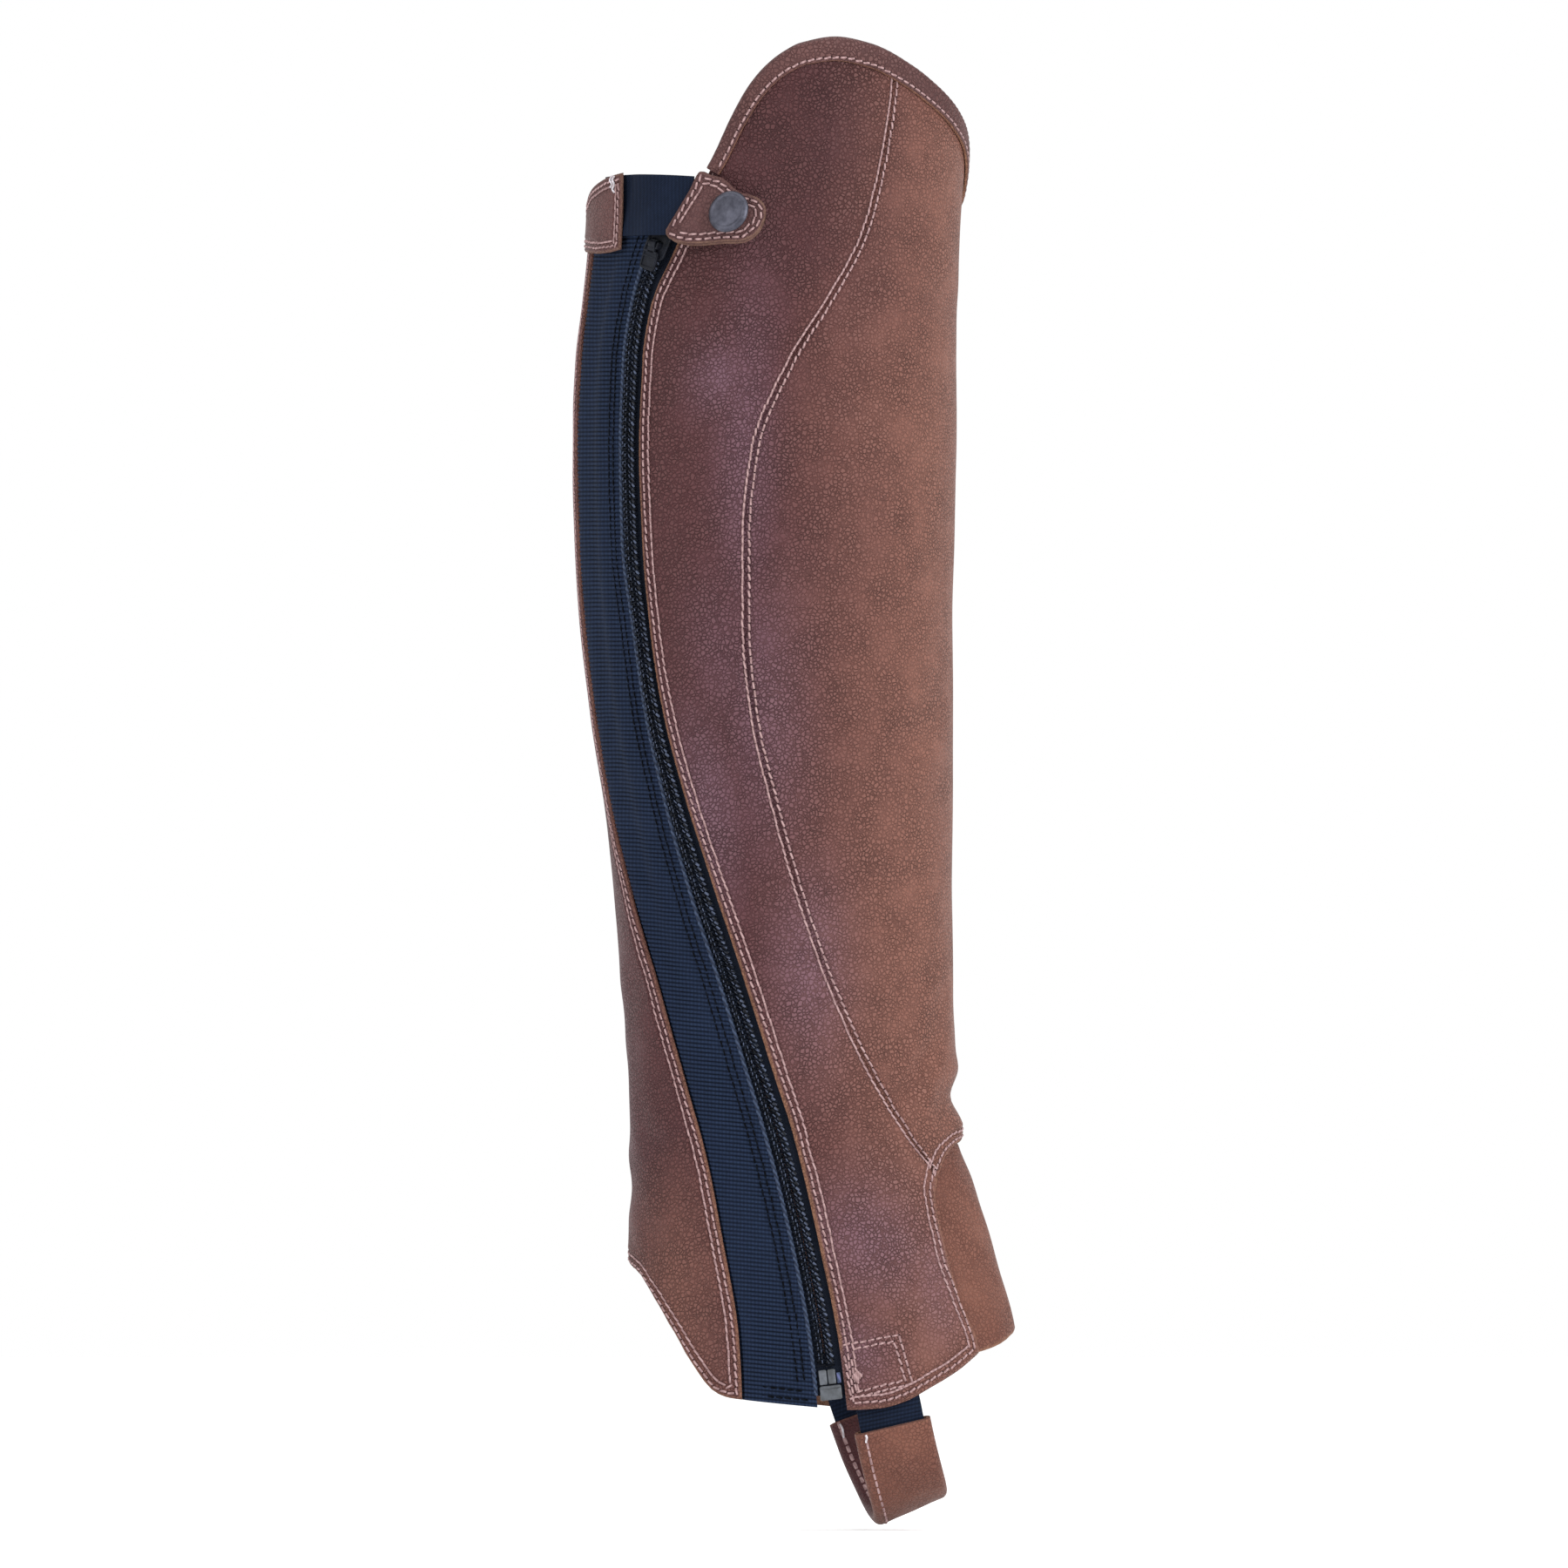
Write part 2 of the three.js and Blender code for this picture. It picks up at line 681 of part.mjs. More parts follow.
// Like the outer panel, it is one piece given as solids that meet edge to edge.
function elasticGore() {
  const place = (u, v) => {
    const angleOf = (height) => {
      const left = moved({ angle: edgeAngle("backEdge", height), height }, -GORE.tuck, 0).angle;
      return mix(left, edgeAngle("goreEdge", height), u);
    };
    const bottom = crossing(...LOWER_SEARCH, (h) => lowerHeight(angleOf(h)) - h);
    const height = mix(bottom, GORE.top, v);
    return { angle: angleOf(height), height };
  };
  const lift = (node) => goreOuterLift(millimetresFromZip(node)) - ELASTIC;
  const whole = grid(7, GORE.rows, place);
  const lengths = [
    ["elastic_gore_ankle", rowsOf(whole, 0, 8)],
    ["elastic_gore_calf", rowsOf(whole, 8, 16)],
    ["elastic_gore_knee", rowsOf(whole, 16, GORE.rows)],
  ];
  return lengths.map(([name, part]) => wallOver(name, [part], lift, ELASTIC, FINISH.elastic));
}

// Half the space between the two tapes, which part at the slider.
function tapeParting(height) {
  return mix(GAP / 2, PARTING.half, ramp(height, PARTING.start, TAPE_TOP));
}

function zipTape(name, side) {
  const place = (u, v) => {
    const share = side > 0 ? u : 1 - u;
    const angleOf = (height) => {
      const middle = { angle: zipAngle(height), height };
      return moved(middle, side * mix(tapeParting(height), TAPE_HALF, share), 0).angle;
    };
    const height = mix(TAPE_BOTTOM, TAPE_TOP, v);
    return { angle: angleOf(height), height };
  };
  return wallOver(name, [grid(3, 32, place)], () => TAPE_LIFT, TAPE, FINISH.tape);
}

function zipCoil(name, side) {
  const place = (u, v) => {
    const height = mix(PIN.top + 2 * GAP, COIL_TOP, v);
    const share = side > 0 ? u : 1 - u;
    const middle = { angle: zipAngle(height), height };
    return moved(middle, side * mix(GAP / 2, COIL_HALF, share), 0);
  };
  const lift = () => TAPE_OUT + GAP;
  return wallOver(name, [grid(1, 28, place)], lift, COIL_HEIGHT, FINISH.coil);
}

// The zip's direction, up along its middle.
function zipRun(height) {
  const above = face(zipAngle(height + 2), height + 2);
  return above.sub(face(zipAngle(height - 2), height - 2)).normalize();
}

// The two metal end plates of the coil and the box below that they sit in.
function zipEnds() {
  const height = PIN.top - PIN.length / 2 - GAP;
  const matrix = onFace({ angle: zipAngle(height), height }, zipRun(height));
  const base = TAPE_OUT + GAP;
  const end = (name, size, x, y) => {
    const shape = block(size.width, size.length, size.height, x, y, base + size.height / 2);
    const mesh = new THREE.Mesh(shape.applyMatrix4(matrix), FINISH.zipMetal);
    mesh.name = name;
    return mesh;
  };
  const aside = PIN.width / 2 + GAP / 2;
  const below = -PIN.length / 2 - GAP - BOX.length / 2;
  return [
    end("zip_pin_back", PIN, -aside, 0),
    end("zip_pin_front", PIN, aside, 0),
    end("zip_box", BOX, BOX.offset, below),
  ];
}

const SLIDER = {
  height: 80, // where its middle sits on the zip
  width: 8.8,
  length: 12,
  plate: 1.2,
  topPlate: 0.2, // lift of the underside of the upper plate
  bottomPlate: TAPE_LIFT - 0.5, // lift of the upper side of the lower plate
  post: { width: 1.8, length: 1.8 },
  ear: { inside: 1.75, thickness: 0.6, length: 2.6, above: 0.9 }, // above the pin's middle
  hinge: { along: -0.8, lift: 3.3, pin: 0.55 },
};
// neck and stem are the narrow part from the eye to the blade, and sway turns the pull on its pin.
const PULL = {
  eye: 1.5,
  hole: 0.9,
  neck: 2.8,
  stem: 2.4,
  width: 6.0,
  length: 9.2,
  thickness: 1.4,
  sway: 8,
};

// Slider: an upper and a lower plate joined by a post, and two ears with the pin that holds the pull.
function zipSlider() {
  const { width, length, plate, topPlate, bottomPlate, post, ear, hinge } = SLIDER;
  const postY = length / 2 - post.length / 2;
  const postHeight = topPlate - bottomPlate + plate / 2;
  const earTop = hinge.lift + ear.above;
  const earHeight = earTop - topPlate - plate / 2;
  const pieces = [
    block(width, length, plate, 0, 0, topPlate + plate / 2),
    block(width, length, plate, 0, 0, bottomPlate - plate / 2),
    block(post.width, post.length, postHeight, 0, postY, (topPlate + bottomPlate) / 2),
  ];
  for (const side of [-1, 1]) {
    const x = side * (ear.inside + ear.thickness / 2);
    pieces.push(
      block(ear.thickness, ear.length, earHeight, x, hinge.along, earTop - earHeight / 2),
    );
  }
  const pin = new THREE.CylinderGeometry(hinge.pin, hinge.pin, 2 * ear.inside + ear.thickness, 16);
  pieces.push(pin.rotateZ(Math.PI / 2).translate(0, hinge.along, hinge.lift));
  const joined = pieces.map(toManifold).reduce((a, b) => a.add(b));
  const mesh = fromManifold("zip_slider", joined, FINISH.black);
  mesh.geometry.applyMatrix4(sliderPlace());
  return mesh;
}

function sliderPlace() {
  const { height } = SLIDER;
  return onFace({ angle: zipAngle(height), height }, zipRun(height));
}

// The pull hangs from the pin by its eye and lies down along the zip.
function zipPull() {
  const { hinge } = SLIDER;
  const { eye, hole, neck, stem, width, length, thickness, sway } = PULL;
  const across = (radius, long) =>
    new THREE.CylinderGeometry(radius, radius, long, 20).rotateZ(Math.PI / 2);
  const ring = toManifold(across(eye, neck));
  const shaft = toManifold(block(neck, stem + eye, thickness, 0, -(stem + eye) / 2, 0));
  const blade = toManifold(block(width, length - stem, thickness, 0, -(length + stem) / 2, 0));
  const bore = toManifold(across(hole, 2 * neck));
  const made = ring.add(shaft).add(blade).subtract(bore);
  const mesh = fromManifold("zip_pull", made, FINISH.black);
  mesh.geometry.rotateZ(sway * RADIANS);
  mesh.geometry.translate(0, hinge.along, hinge.lift);
  mesh.geometry.applyMatrix4(sliderPlace());
  return mesh;
}

// ---------------------------------------------------------------- snap closure

// How far the tab's back layer stands off the panel: it lies down at its upper left and lifts towards
// its lower right, over the two halves of the snap.
function tabLift(x, height) {
  const rise = TAB_SEAT.up * (TAB_SEAT.height - height) + TAB_SEAT.across * (x - TAB_SEAT.x);
  return TAB_SEAT.lift + Math.log(1 + Math.exp(2 * rise)) / 2;
}

const BAND_IN_TAB = THIN_LEATHER + GAP;

function xOf(node) {
  return face(node.angle, node.height).x;
}

// One layer of the tab. Its outline is the tab's as it shows from the outer side, at its face.
function snapTab(name, liftAbove, grow) {
  const columns = TAB.x.length - 1;
  const faceLift = (node) => {
    const x = xOf(node);
    return tabLift(x, node.height) + faceAboveBack(x) + THIN_LEATHER;
  };
  const place = (u, v) => {
    const i = Math.round(u * columns);
    const height = mix(TAB.bottom[i] - grow, TAB.top[i], v);
    const before = (angle) => TAB.x[i] - lifted({ angle, height }, faceLift({ angle, height })).x;
    return { angle: crossing(30, 120, before), height };
  };
  const lift = (node) => tabLift(xOf(node), node.height) + liftAbove(xOf(node));
  return wallOver(name, [grid(columns, 5, place)], lift, THIN_LEATHER, FINISH.leather);
}

// The tab's face climbs over the end of the band that is sewn between the layers.
function faceAboveBack(x) {
  return BAND_IN_TAB + (ELASTIC + GAP) * (1 - ramp(x, -21.9, -17.5));
}

// Elastic from under the corner patch to between the layers of the tab.
function snapBand() {
  const place = (u, v) => {
    const bow = BAND.bow * (1 - (2 * u - 1) ** 2);
    const height = mix(BAND.bottom, BAND.top + bow, v);
    const end = angleAt(Math.min(BAND.endX, slantX(height) + BAND.inTab), height);
    return { angle: mix(BAND.startAngle, end, u), height };
  };
  const lift = (node) => {
    const x = xOf(node);
    const overGore = goreOuterLift(millimetresFromZip(node)) + LAYER_GAP;
    const inTab = tabLift(x, node.height) + BAND_IN_TAB;
    return mix(overGore, inTab, ramp(node.angle, 36, 53));
  };
  return wallOver("snap_band", [grid(12, 5, place)], lift, ELASTIC, FINISH.elastic);
}

// X of the tab's slanted left edge.
function slantX(height) {
  const corner = { x: TAB.x[0], height: TAB.top[0] };
  const peak = { x: TAB.x[4], height: TAB.top[4] };
  return mix(corner.x, peak.x, (height - corner.height) / (peak.height - corner.height));
}

function cornerPatch() {
  const place = (u, v) => {
    const angle = mix(PATCH.angle[0], PATCH.angle.at(-1), u);
    const height = mix(read(PATCH, "bottom", angle), read(PATCH, "top", angle), v);
    return { angle, height };
  };
  const lift = (node) => read(PATCH, "lift", node.angle);
  return wallOver("corner_patch", [grid(9, 5, place)], lift, THIN_LEATHER, FINISH.leather);
}

// A turned piece: its profile is radius and height from its own base.
function turned(name, profile, matrix, finish) {
  const points = profile.map(([radius, up]) => new THREE.Vector2(radius, up));
  const geometry = new THREE.LatheGeometry(points, 18).rotateX(Math.PI / 2);
  const mesh = fromManifold(name, toManifold(geometry), finish);
  mesh.geometry.applyMatrix4(matrix);
  return mesh;
}

// The snap: a stud on the panel, a socket behind the tab and a cap on the tab's face.
function snap() {
  const node = { angle: angleAt(CAP.x, CAP.height), height: CAP.height };
  const upwards = new THREE.Vector3(0, 0, 1);
  const lean = new THREE.Vector3(1, 1, 0).normalize();
  const place = (lift, tilt) => {
    const matrix = onFace(node, upwards);
    matrix.multiply(new THREE.Matrix4().makeTranslation(0, 0, lift));
    return matrix.multiply(new THREE.Matrix4().makeRotationAxis(lean, -tilt * RADIANS));
  };
  const back = tabLift(CAP.x, CAP.height);
  const capLift = back + faceAboveBack(CAP.x) + THIN_LEATHER + CAP.seat;
  return [
    turned("snap_cap", CAP_PROFILE, place(capLift, CAP.tilt), FINISH.snap),
    turned("snap_socket", SOCKET_PROFILE, place(back - SOCKET.depth, SOCKET.tilt), FINISH.snap),
    turned("snap_stud", STUD_PROFILE, place(GAP, 0), FINISH.snap),
  ];
}

// ---------------------------------------------------------------- strap under the foot

// The strap's frames: a point, the direction of its width and the direction through its thickness.
function strapFrames(count, from, to) {
  const points = STRAP_ROUTE.x.map(
    (x, i) => new THREE.Vector3(x, STRAP_ROUTE.y[i], STRAP_ROUTE.z[i]),
  );
  const curve = new THREE.CatmullRomCurve3(points);
  return Array.from({ length: count + 1 }, (_, i) => {
    const share = mix(from, to, i / count);
    const station = share * (points.length - 1);
    const k = Math.min(points.length - 2, Math.floor(station));
    const tilt = mix(STRAP_ROUTE.tilt[k], STRAP_ROUTE.tilt[k + 1], station - k) * RADIANS;
    const yaw = mix(STRAP_ROUTE.yaw[k], STRAP_ROUTE.yaw[k + 1], station - k) * RADIANS;
    const run = curve.getTangent(share);
    const wide = new THREE.Vector3(Math.cos(yaw), Math.sin(yaw), Math.tan(tilt));
    wide.addScaledVector(run, -wide.dot(run)).normalize();
    const through = new THREE.Vector3().crossVectors(run, wide).normalize();
    return { point: curve.getPoint(share), wide, through };
  });
}

function strapRing({ point, wide, through }, outline) {
  return outline.map(([w, t]) =>
    point.clone().addScaledVector(wide, w).addScaledVector(through, t),
  );
}

function strapElastic() {
  const w = STRAP.width / 2;
  const t = STRAP.thickness / 2;
  const outline = [[-w, -t], [w, -t], [w, t], [-w, t]];
  const rings = strapFrames(20, 0, 1).map((frame) => strapRing(frame, outline));
  const flat = outline.map(([x, y]) => new THREE.Vector2(x, y));
  return loft("strap_elastic", rings, flat, FINISH.elastic);
}

// The leather sleeve is a flat tube round the strap, open at both ends.
function strapSleeve() {
  const oval = (width, thickness) => {
    const w = width / 2 - thickness / 2;
    const t = thickness / 2;
    const c = t * Math.SQRT1_2;
    return [
      [-w, -t], [w, -t], [w + c, -c], [w + t, 0], [w + c, c],
      [w, t], [-w, t], [-w - c, c], [-w - t, 0], [-w - c, -c],
    ];
  };
  const outside = oval(SLEEVE.width, SLEEVE.thickness);
  const inside = oval(SLEEVE.width - 2 * SLEEVE.wall, SLEEVE.thickness - 2 * SLEEVE.wall);
  const size = outside.length;
  const frames = strapFrames(12, ...SLEEVE_SPAN);
  const positions = frames.flatMap((frame) =>
    [...strapRing(frame, outside), ...strapRing(frame, inside)].flatMap((p) => p.toArray()),
  );
  const triangles = [];
  const quad = (a, b, c, d) => triangles.push(a, b, c, a, c, d);
  for (let i = 0; i < frames.length; i += 1) {
    const here = i * 2 * size;
    const there = here + 2 * size;
    for (let j = 0; j < size; j += 1) {
      const next = (j + 1) % size;
      if (i === 0) quad(here + j, here + size + j, here + size + next, here + next);
      if (i === frames.length - 1) {
        quad(here + j, here + next, here + size + next, here + size + j);
        continue;
      }
      quad(here + j, here + next, there + next, there + j);
      quad(here + size + next, here + size + j, there + size + j, there + size + next);
    }
  }
  return solid("strap_sleeve", positions, triangles, FINISH.leather);
}

// ---------------------------------------------------------------- the half chap

const halfChap = new THREE.Group();
halfChap.add(
  ...outerPanel(),
  innerPanel(),
  instepGusset(),
  topBinding(),
  ...elasticGore(),
  zipTape("zip_tape_back", -1),
  zipTape("zip_tape_front", 1),
  zipCoil("zip_coil_back", -1),
  zipCoil("zip_coil_front", 1),
  ...zipEnds(),
  zipSlider(),
  zipPull(),
  snapBand(),
  cornerPatch(),
  snapTab("snap_tab_back", () => 0, TAB_BACK_GROWTH),
  snapTab("snap_tab_face", faceAboveBack, 0),
  ...snap(),
  strapElastic(),
  strapSleeve(),
);

export default halfChap;
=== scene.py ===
"""A leather half chap for the right leg, built round its fixed frame.

Lengths in the tables are in millimetres, and points become metres where a mesh is made. +X is the front
of the leg, -Y its outer side and +Z up. A place on the chap is an angle round the leg and a height. The
angle runs from 0 at the back over 90 on the outer side to 180 at the shin and 270 on the inner side.
"""

import math

import bmesh
import bpy
import numpy as np
from mathutils import Matrix, Vector, kdtree

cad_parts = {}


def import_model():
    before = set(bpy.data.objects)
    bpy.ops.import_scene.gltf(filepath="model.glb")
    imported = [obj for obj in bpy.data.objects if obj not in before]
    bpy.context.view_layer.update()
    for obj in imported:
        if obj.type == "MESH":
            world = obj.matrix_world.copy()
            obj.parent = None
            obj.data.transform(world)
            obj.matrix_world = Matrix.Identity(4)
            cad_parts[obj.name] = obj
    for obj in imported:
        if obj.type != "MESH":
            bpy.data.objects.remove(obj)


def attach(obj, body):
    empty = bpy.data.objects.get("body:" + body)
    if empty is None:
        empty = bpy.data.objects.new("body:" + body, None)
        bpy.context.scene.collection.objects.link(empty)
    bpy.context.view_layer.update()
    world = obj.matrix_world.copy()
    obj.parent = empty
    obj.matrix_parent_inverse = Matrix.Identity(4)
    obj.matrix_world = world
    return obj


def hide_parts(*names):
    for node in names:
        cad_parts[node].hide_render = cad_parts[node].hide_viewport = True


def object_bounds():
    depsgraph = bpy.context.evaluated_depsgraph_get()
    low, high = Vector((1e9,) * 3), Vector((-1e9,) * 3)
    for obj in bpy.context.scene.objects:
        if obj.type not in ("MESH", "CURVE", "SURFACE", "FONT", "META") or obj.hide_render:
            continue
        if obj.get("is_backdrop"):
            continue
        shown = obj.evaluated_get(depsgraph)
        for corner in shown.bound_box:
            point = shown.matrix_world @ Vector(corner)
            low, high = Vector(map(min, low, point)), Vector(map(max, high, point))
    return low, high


bl_info = {
    "name": "Half chap",
    "version": (1, 0, 0),
    "blender": (4, 5, 0),
    "location": "View3D > Sidebar > Half chap",
    "description": "Builds a zipped leather half chap with an elastic gore, a snap tab and a foot strap",
    "category": "Object",
}

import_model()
CAD_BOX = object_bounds()
MM = 0.001

# ---------------------------------------------------------------- driving dimensions

LEATHER = 1.6  # thickness of the panels
THIN = 1.1  # thickness of binding, patch and tab layers
ELASTIC = 1.2
TAPE = 0.8
GAP = 0.3
LAYER_GAP = 0.9
UNDER_PANEL = -LEATHER - LAYER_GAP  # lift of what lies under the panels
EGG = 0.08  # how much fuller the calf side of each section is than the shin side
TAPE_HALF = 14.0
TAPE_ENDS = (-310.0, 86.5)
COIL_ENDS = (-300.2, 80.0)
COIL_PITCH = 1.74
ZIP_MIDDLE = 0.45  # the zip's middle, as a share of the way from elastic to leather
SEAM_END = -237.0  # height at which the shin seam meets the instep opening
GORE_TOP, GORE_FOOT = 100.0, -312.0
SLIDER_HEIGHT = 80.0
HINGE = (0.0, -0.8, 3.3)  # the pull's hinge, from the slider's place: across, up the zip and out
SOFT_CREASED = 0.35  # how much of the leather's creases the elastic and the zip follow
FOOT_RANGE = (-320.0, -250.0)  # heights that hold every lower edge
HEAD_RANGE = (60.0, 152.0)  # heights that hold every upper edge


class Table:
    """Rows of numbers under named columns, read along the first column on a curve without overshoot."""

    def __init__(self, columns, rows):
        values = np.array(rows, float).T
        self.columns = dict(zip(columns, values))
        self.key = values[0]

    def read(self, column, at):
        key = self.key
        value = self.columns[column]
        step = np.diff(key)
        rate = np.diff(value) / step
        slope = np.empty_like(value)
        slope[0], slope[-1] = rate[0], rate[-1]
        product = rate[:-1] * rate[1:]
        total = rate[:-1] + rate[1:]
        slope[1:-1] = np.where(product > 0, 2 * product / np.where(total == 0, 1, total), 0)
        at = np.asarray(at, float)
        i = np.clip(np.searchsorted(key, at) - 1, 0, len(key) - 2)
        span = step[i]
        t = (at - key[i]) / span
        inside = (
            value[i] * (1 + 2 * t) * (1 - t) ** 2
            + value[i + 1] * (3 - 2 * t) * t**2
            + slope[i] * span * t * (1 - t) ** 2
            - slope[i + 1] * span * t**2 * (1 - t)
        )
        below = value[0] + slope[0] * (at - key[0])
        above = value[-1] + slope[-1] * (at - key[-1])
        return np.where(t < 0, below, np.where(t > 1, above, inside))


# The chap's measurements by height: the ends of the section on the X axis, its half width on the Y axis,
# and the X of four edges on the outer side.
CHART = Table(
    ["height", "back", "front", "depth", "backEdge", "goreEdge", "zipEdge", "shinSeam"],
    [
        [-316, -46.5, 89.5, 41.5, -7.4, 18.4, 28.5, 75.0],
        [-290, -46.0, 87.2, 41.0, -8.8, 15.3, 25.1, 70.0],
        [-260, -45.7, 79.6, 40.5, -14.0, 9.7, 19.0, 63.0],
        [-237, -45.4, 72.3, 39.9, -18.4, 4.3, 13.8, 59.3],
        [-222, -45.4, 66.8, 39.5, -21.9, 0.3, 10.0, 49.0],
        [-200, -46.3, 64.8, 40.0, -28.3, -6.3, 2.8, 35.7],
        [-170, -48.4, 64.2, 42.0, -36.9, -15.6, -6.8, 22.2],
        [-140, -50.8, 63.7, 45.0, -46.0, -25.5, -16.8, 11.8],
        [-110, -54.4, 63.7, 48.5, -53.3, -33.9, -26.4, 3.4],
        [-80, -59.0, 64.0, 51.5, -58.2, -40.6, -34.4, -3.5],
        [-50, -62.2, 64.0, 54.0, -61.7, -45.1, -39.3, -6.3],
        [-20, -64.3, 64.5, 55.5, -63.8, -48.8, -41.8, -6.3],
        [10, -64.9, 65.2, 56.0, -64.4, -49.3, -42.8, -3.2],
        [40, -63.5, 65.5, 56.0, -63.0, -48.3, -41.8, 9.3],
        [60, -61.2, 65.8, 55.5, -60.8, -45.4, -38.5, 21.8],
        [80, -59.2, 66.5, 55.0, -58.7, -39.4, -29.5, 32.7],
        [95, -58.6, 67.2, 55.0, -58.0, -33.3, -22.7, 37.6],
        [110, -58.8, 68.2, 55.0, -58.0, -30.0, -17.5, 40.9],
        [130, -59.0, 68.6, 55.0, -58.0, -30.0, -14.0, 43.8],
        [150, -59.0, 69.0, 55.0, -58.0, -30.0, -10.0, 45.0],
    ],
)

# The upper edge by angle, from the zip side over the knee's peak and round to the back.
TOP_EDGE = Table(
    ["angle", "height"],
    [
        [60, 83.5],
        [65, 96.5],
        [68.2, 102.7],
        [71.6, 109.4],
        [77.1, 122.0],
        [82.3, 132.0],
        [87.4, 138.6],
        [92.4, 142.9],
        [97.4, 145.7],
        [107.7, 147.7],
        [118.8, 145.6],
        [134.7, 138.3],
        [146.2, 131.8],
        [160.6, 123.3],
        [173, 116.0],
        [182, 108.0],
        [192, 98.5],
        [206, 94.0],
        [230, 91.5],
        [270, 90.5],
        [310, 91.5],
        [346, 93.0],
        [360, 94.5],
        [373, 98.5],
        [396, 102.0],
    ],
)

# The lower edge by the angle away from the shin, alike on both sides.
LOWER_EDGE = Table(
    ["angle", "height"],
    [
        [38.5, -295.6],
        [49.3, -302.4],
        [57.8, -307.1],
        [67.2, -312.1],
        [74.3, -314.2],
        [83.7, -314.8],
        [92, -314.0],
        [114, -311.5],
        [120, -310.6],
        [125, -308.4],
        [132, -300.3],
        [143, -285.9],
        [152, -276.0],
        [164, -268.3],
        [180, -265.2],
    ],
)

# Half the width of the instep opening, as an angle each side of the shin.
INSTEP = Table(
    ["height", "angle"],
    [
        [-296, 38.5],
        [-292, 38.6],
        [-285, 40.9],
        [-276, 43.4],
        [-264, 44.2],
        [-253, 43.9],
        [-243, 42.4],
        [-237, 38.7],
        [-233, 34.1],
        [-229, 28.0],
        [-225, 15.0],
        [-223.6, 0],
    ],
)
HEM_CORNER = INSTEP.key[0]
ARCH_TOP = INSTEP.key[-1]

# How wide the binding's two leaves are, by angle.
BINDING_WIDTH = Table(
    ["angle", "width"],
    [
        [66, 5.2],
        [75, 5.5],
        [84, 6.4],
        [108, 8.3],
        [135, 8.0],
        [170, 7.6],
        [200, 7.0],
        [346, 6.6],
    ],
)

# Creases: where each one's middle is, which way it runs (degrees up from going round the leg), how long,
# wide and deep it is, and how far its ends bow.
CREASES = Table(
    ["angle", "height", "turn", "length", "width", "depth", "bow"],
    [
        [181, -209, 4, 70, 5.5, 2.3, 3],
        [146, -196, 52, 58, 5.0, 0.9, -4],
        [137, -207, 40, 44, 4.0, 0.8, 3],
        [152, -180, 30, 40, 4.5, 0.6, 2],
        [118, -158, 24, 60, 6.5, 0.7, -5],
        [96, -222, 38, 44, 5.5, 0.6, 4],
        [106, -258, 18, 52, 6.0, 0.7, -4],
        [124, -276, -30, 46, 5.0, 0.8, 3],
        [88, -286, 30, 30, 4.5, 0.5, 2],
        [98, -6, 58, 62, 7.0, 0.7, 5],
        [88, 14, 44, 46, 6.0, 0.6, -3],
        [128, 26, -20, 64, 8.0, 0.6, 4],
        [74, -64, 50, 52, 6.0, 0.6, -4],
        [140, -88, 28, 56, 7.5, 0.6, 3],
        [100, 92, 32, 58, 8.0, 0.6, -4],
        [160, 60, -28, 48, 7.0, 0.6, 3],
        [216, -202, -24, 62, 6.0, 1.2, 4],
        [232, -186, -40, 54, 5.5, 0.9, -3],
        [262, -214, -16, 60, 6.5, 0.8, 4],
        [246, -254, 20, 46, 5.0, 0.7, -3],
        [288, -180, -30, 62, 7.0, 0.9, 4],
        [306, -222, 12, 44, 6.0, 0.8, -3],
        [332, -196, 34, 58, 7.0, 1.0, 4],
        [352, -238, -14, 50, 6.0, 0.9, 3],
        [18, -176, 22, 46, 6.0, 0.8, -3],
        [34, -226, -26, 36, 5.0, 0.6, 2],
        [256, -12, -56, 66, 7.5, 0.8, 5],
        [278, 34, -34, 60, 8.0, 0.7, -4],
        [230, 48, 22, 54, 7.0, 0.6, 3],
        [304, -60, 42, 58, 7.5, 0.7, 4],
        [336, 20, -18, 64, 8.5, 0.7, -5],
        [322, -120, 26, 50, 7.0, 0.7, 3],
        [262, -120, -22, 56, 7.0, 0.6, -4],
    ],
)

# Where violet sheen, a painted reflection, lies on the leather: middle, half size round the leg and up
# it, and strength.
PAINTED_VIOLET_SHEEN_SPOTS = [
    [84, 10, 9, 60, 0.55],
    [76, 34, 10, 14, 0.60],
    [88, -80, 14, 50, 0.50],
    [66, -112, 12, 34, 0.60],
    [108, -258, 20, 20, 0.62],
    [92, -296, 18, 14, 0.70],
    [128, -272, 10, 22, 0.45],
    [98, -166, 14, 34, 0.60],
    [76, -60, 12, 30, 0.35],
    [240, 30, 30, 50, 0.45],
    [290, -90, 26, 60, 0.50],
    [250, -240, 30, 30, 0.60],
    [340, -200, 26, 50, 0.50],
    [350, 20, 20, 50, 0.45],
]

# ---------------------------------------------------------------- the filled-out form


def mix(a, b, share):
    return a + (b - a) * share


def ramp(at, start, end):
    """0 up to start, 1 past end, smooth between."""
    t = np.clip((np.asarray(at, float) - start) / (end - start), 0, 1)
    return t * t * (3 - 2 * t)


def crossing(low, high, f):
    """Where a falling function, of an array of numbers, crosses zero."""
    a, b = np.broadcast_arrays(np.asarray(low, float), np.asarray(high, float))
    a, b = a.copy(), b.copy()
    for _ in range(36):
        middle = (a + b) / 2
        up = f(middle) > 0
        a = np.where(up, middle, a)
        b = np.where(up, b, middle)
    return (a + b) / 2


def face(angle, height):
    """Points of the leather's outer face."""
    angle, height = np.broadcast_arrays(np.asarray(angle, float), np.asarray(height, float))
    back = CHART.read("back", height)
    front = CHART.read("front", height)
    depth = CHART.read("depth", height)
    cos = np.cos(np.radians(angle))
    sin = np.sin(np.radians(angle))
    x = (back + front) / 2 - (front - back) / 2 * cos
    y = -depth * sin * (1 + EGG * cos)
    return np.stack([x, y, height], -1)


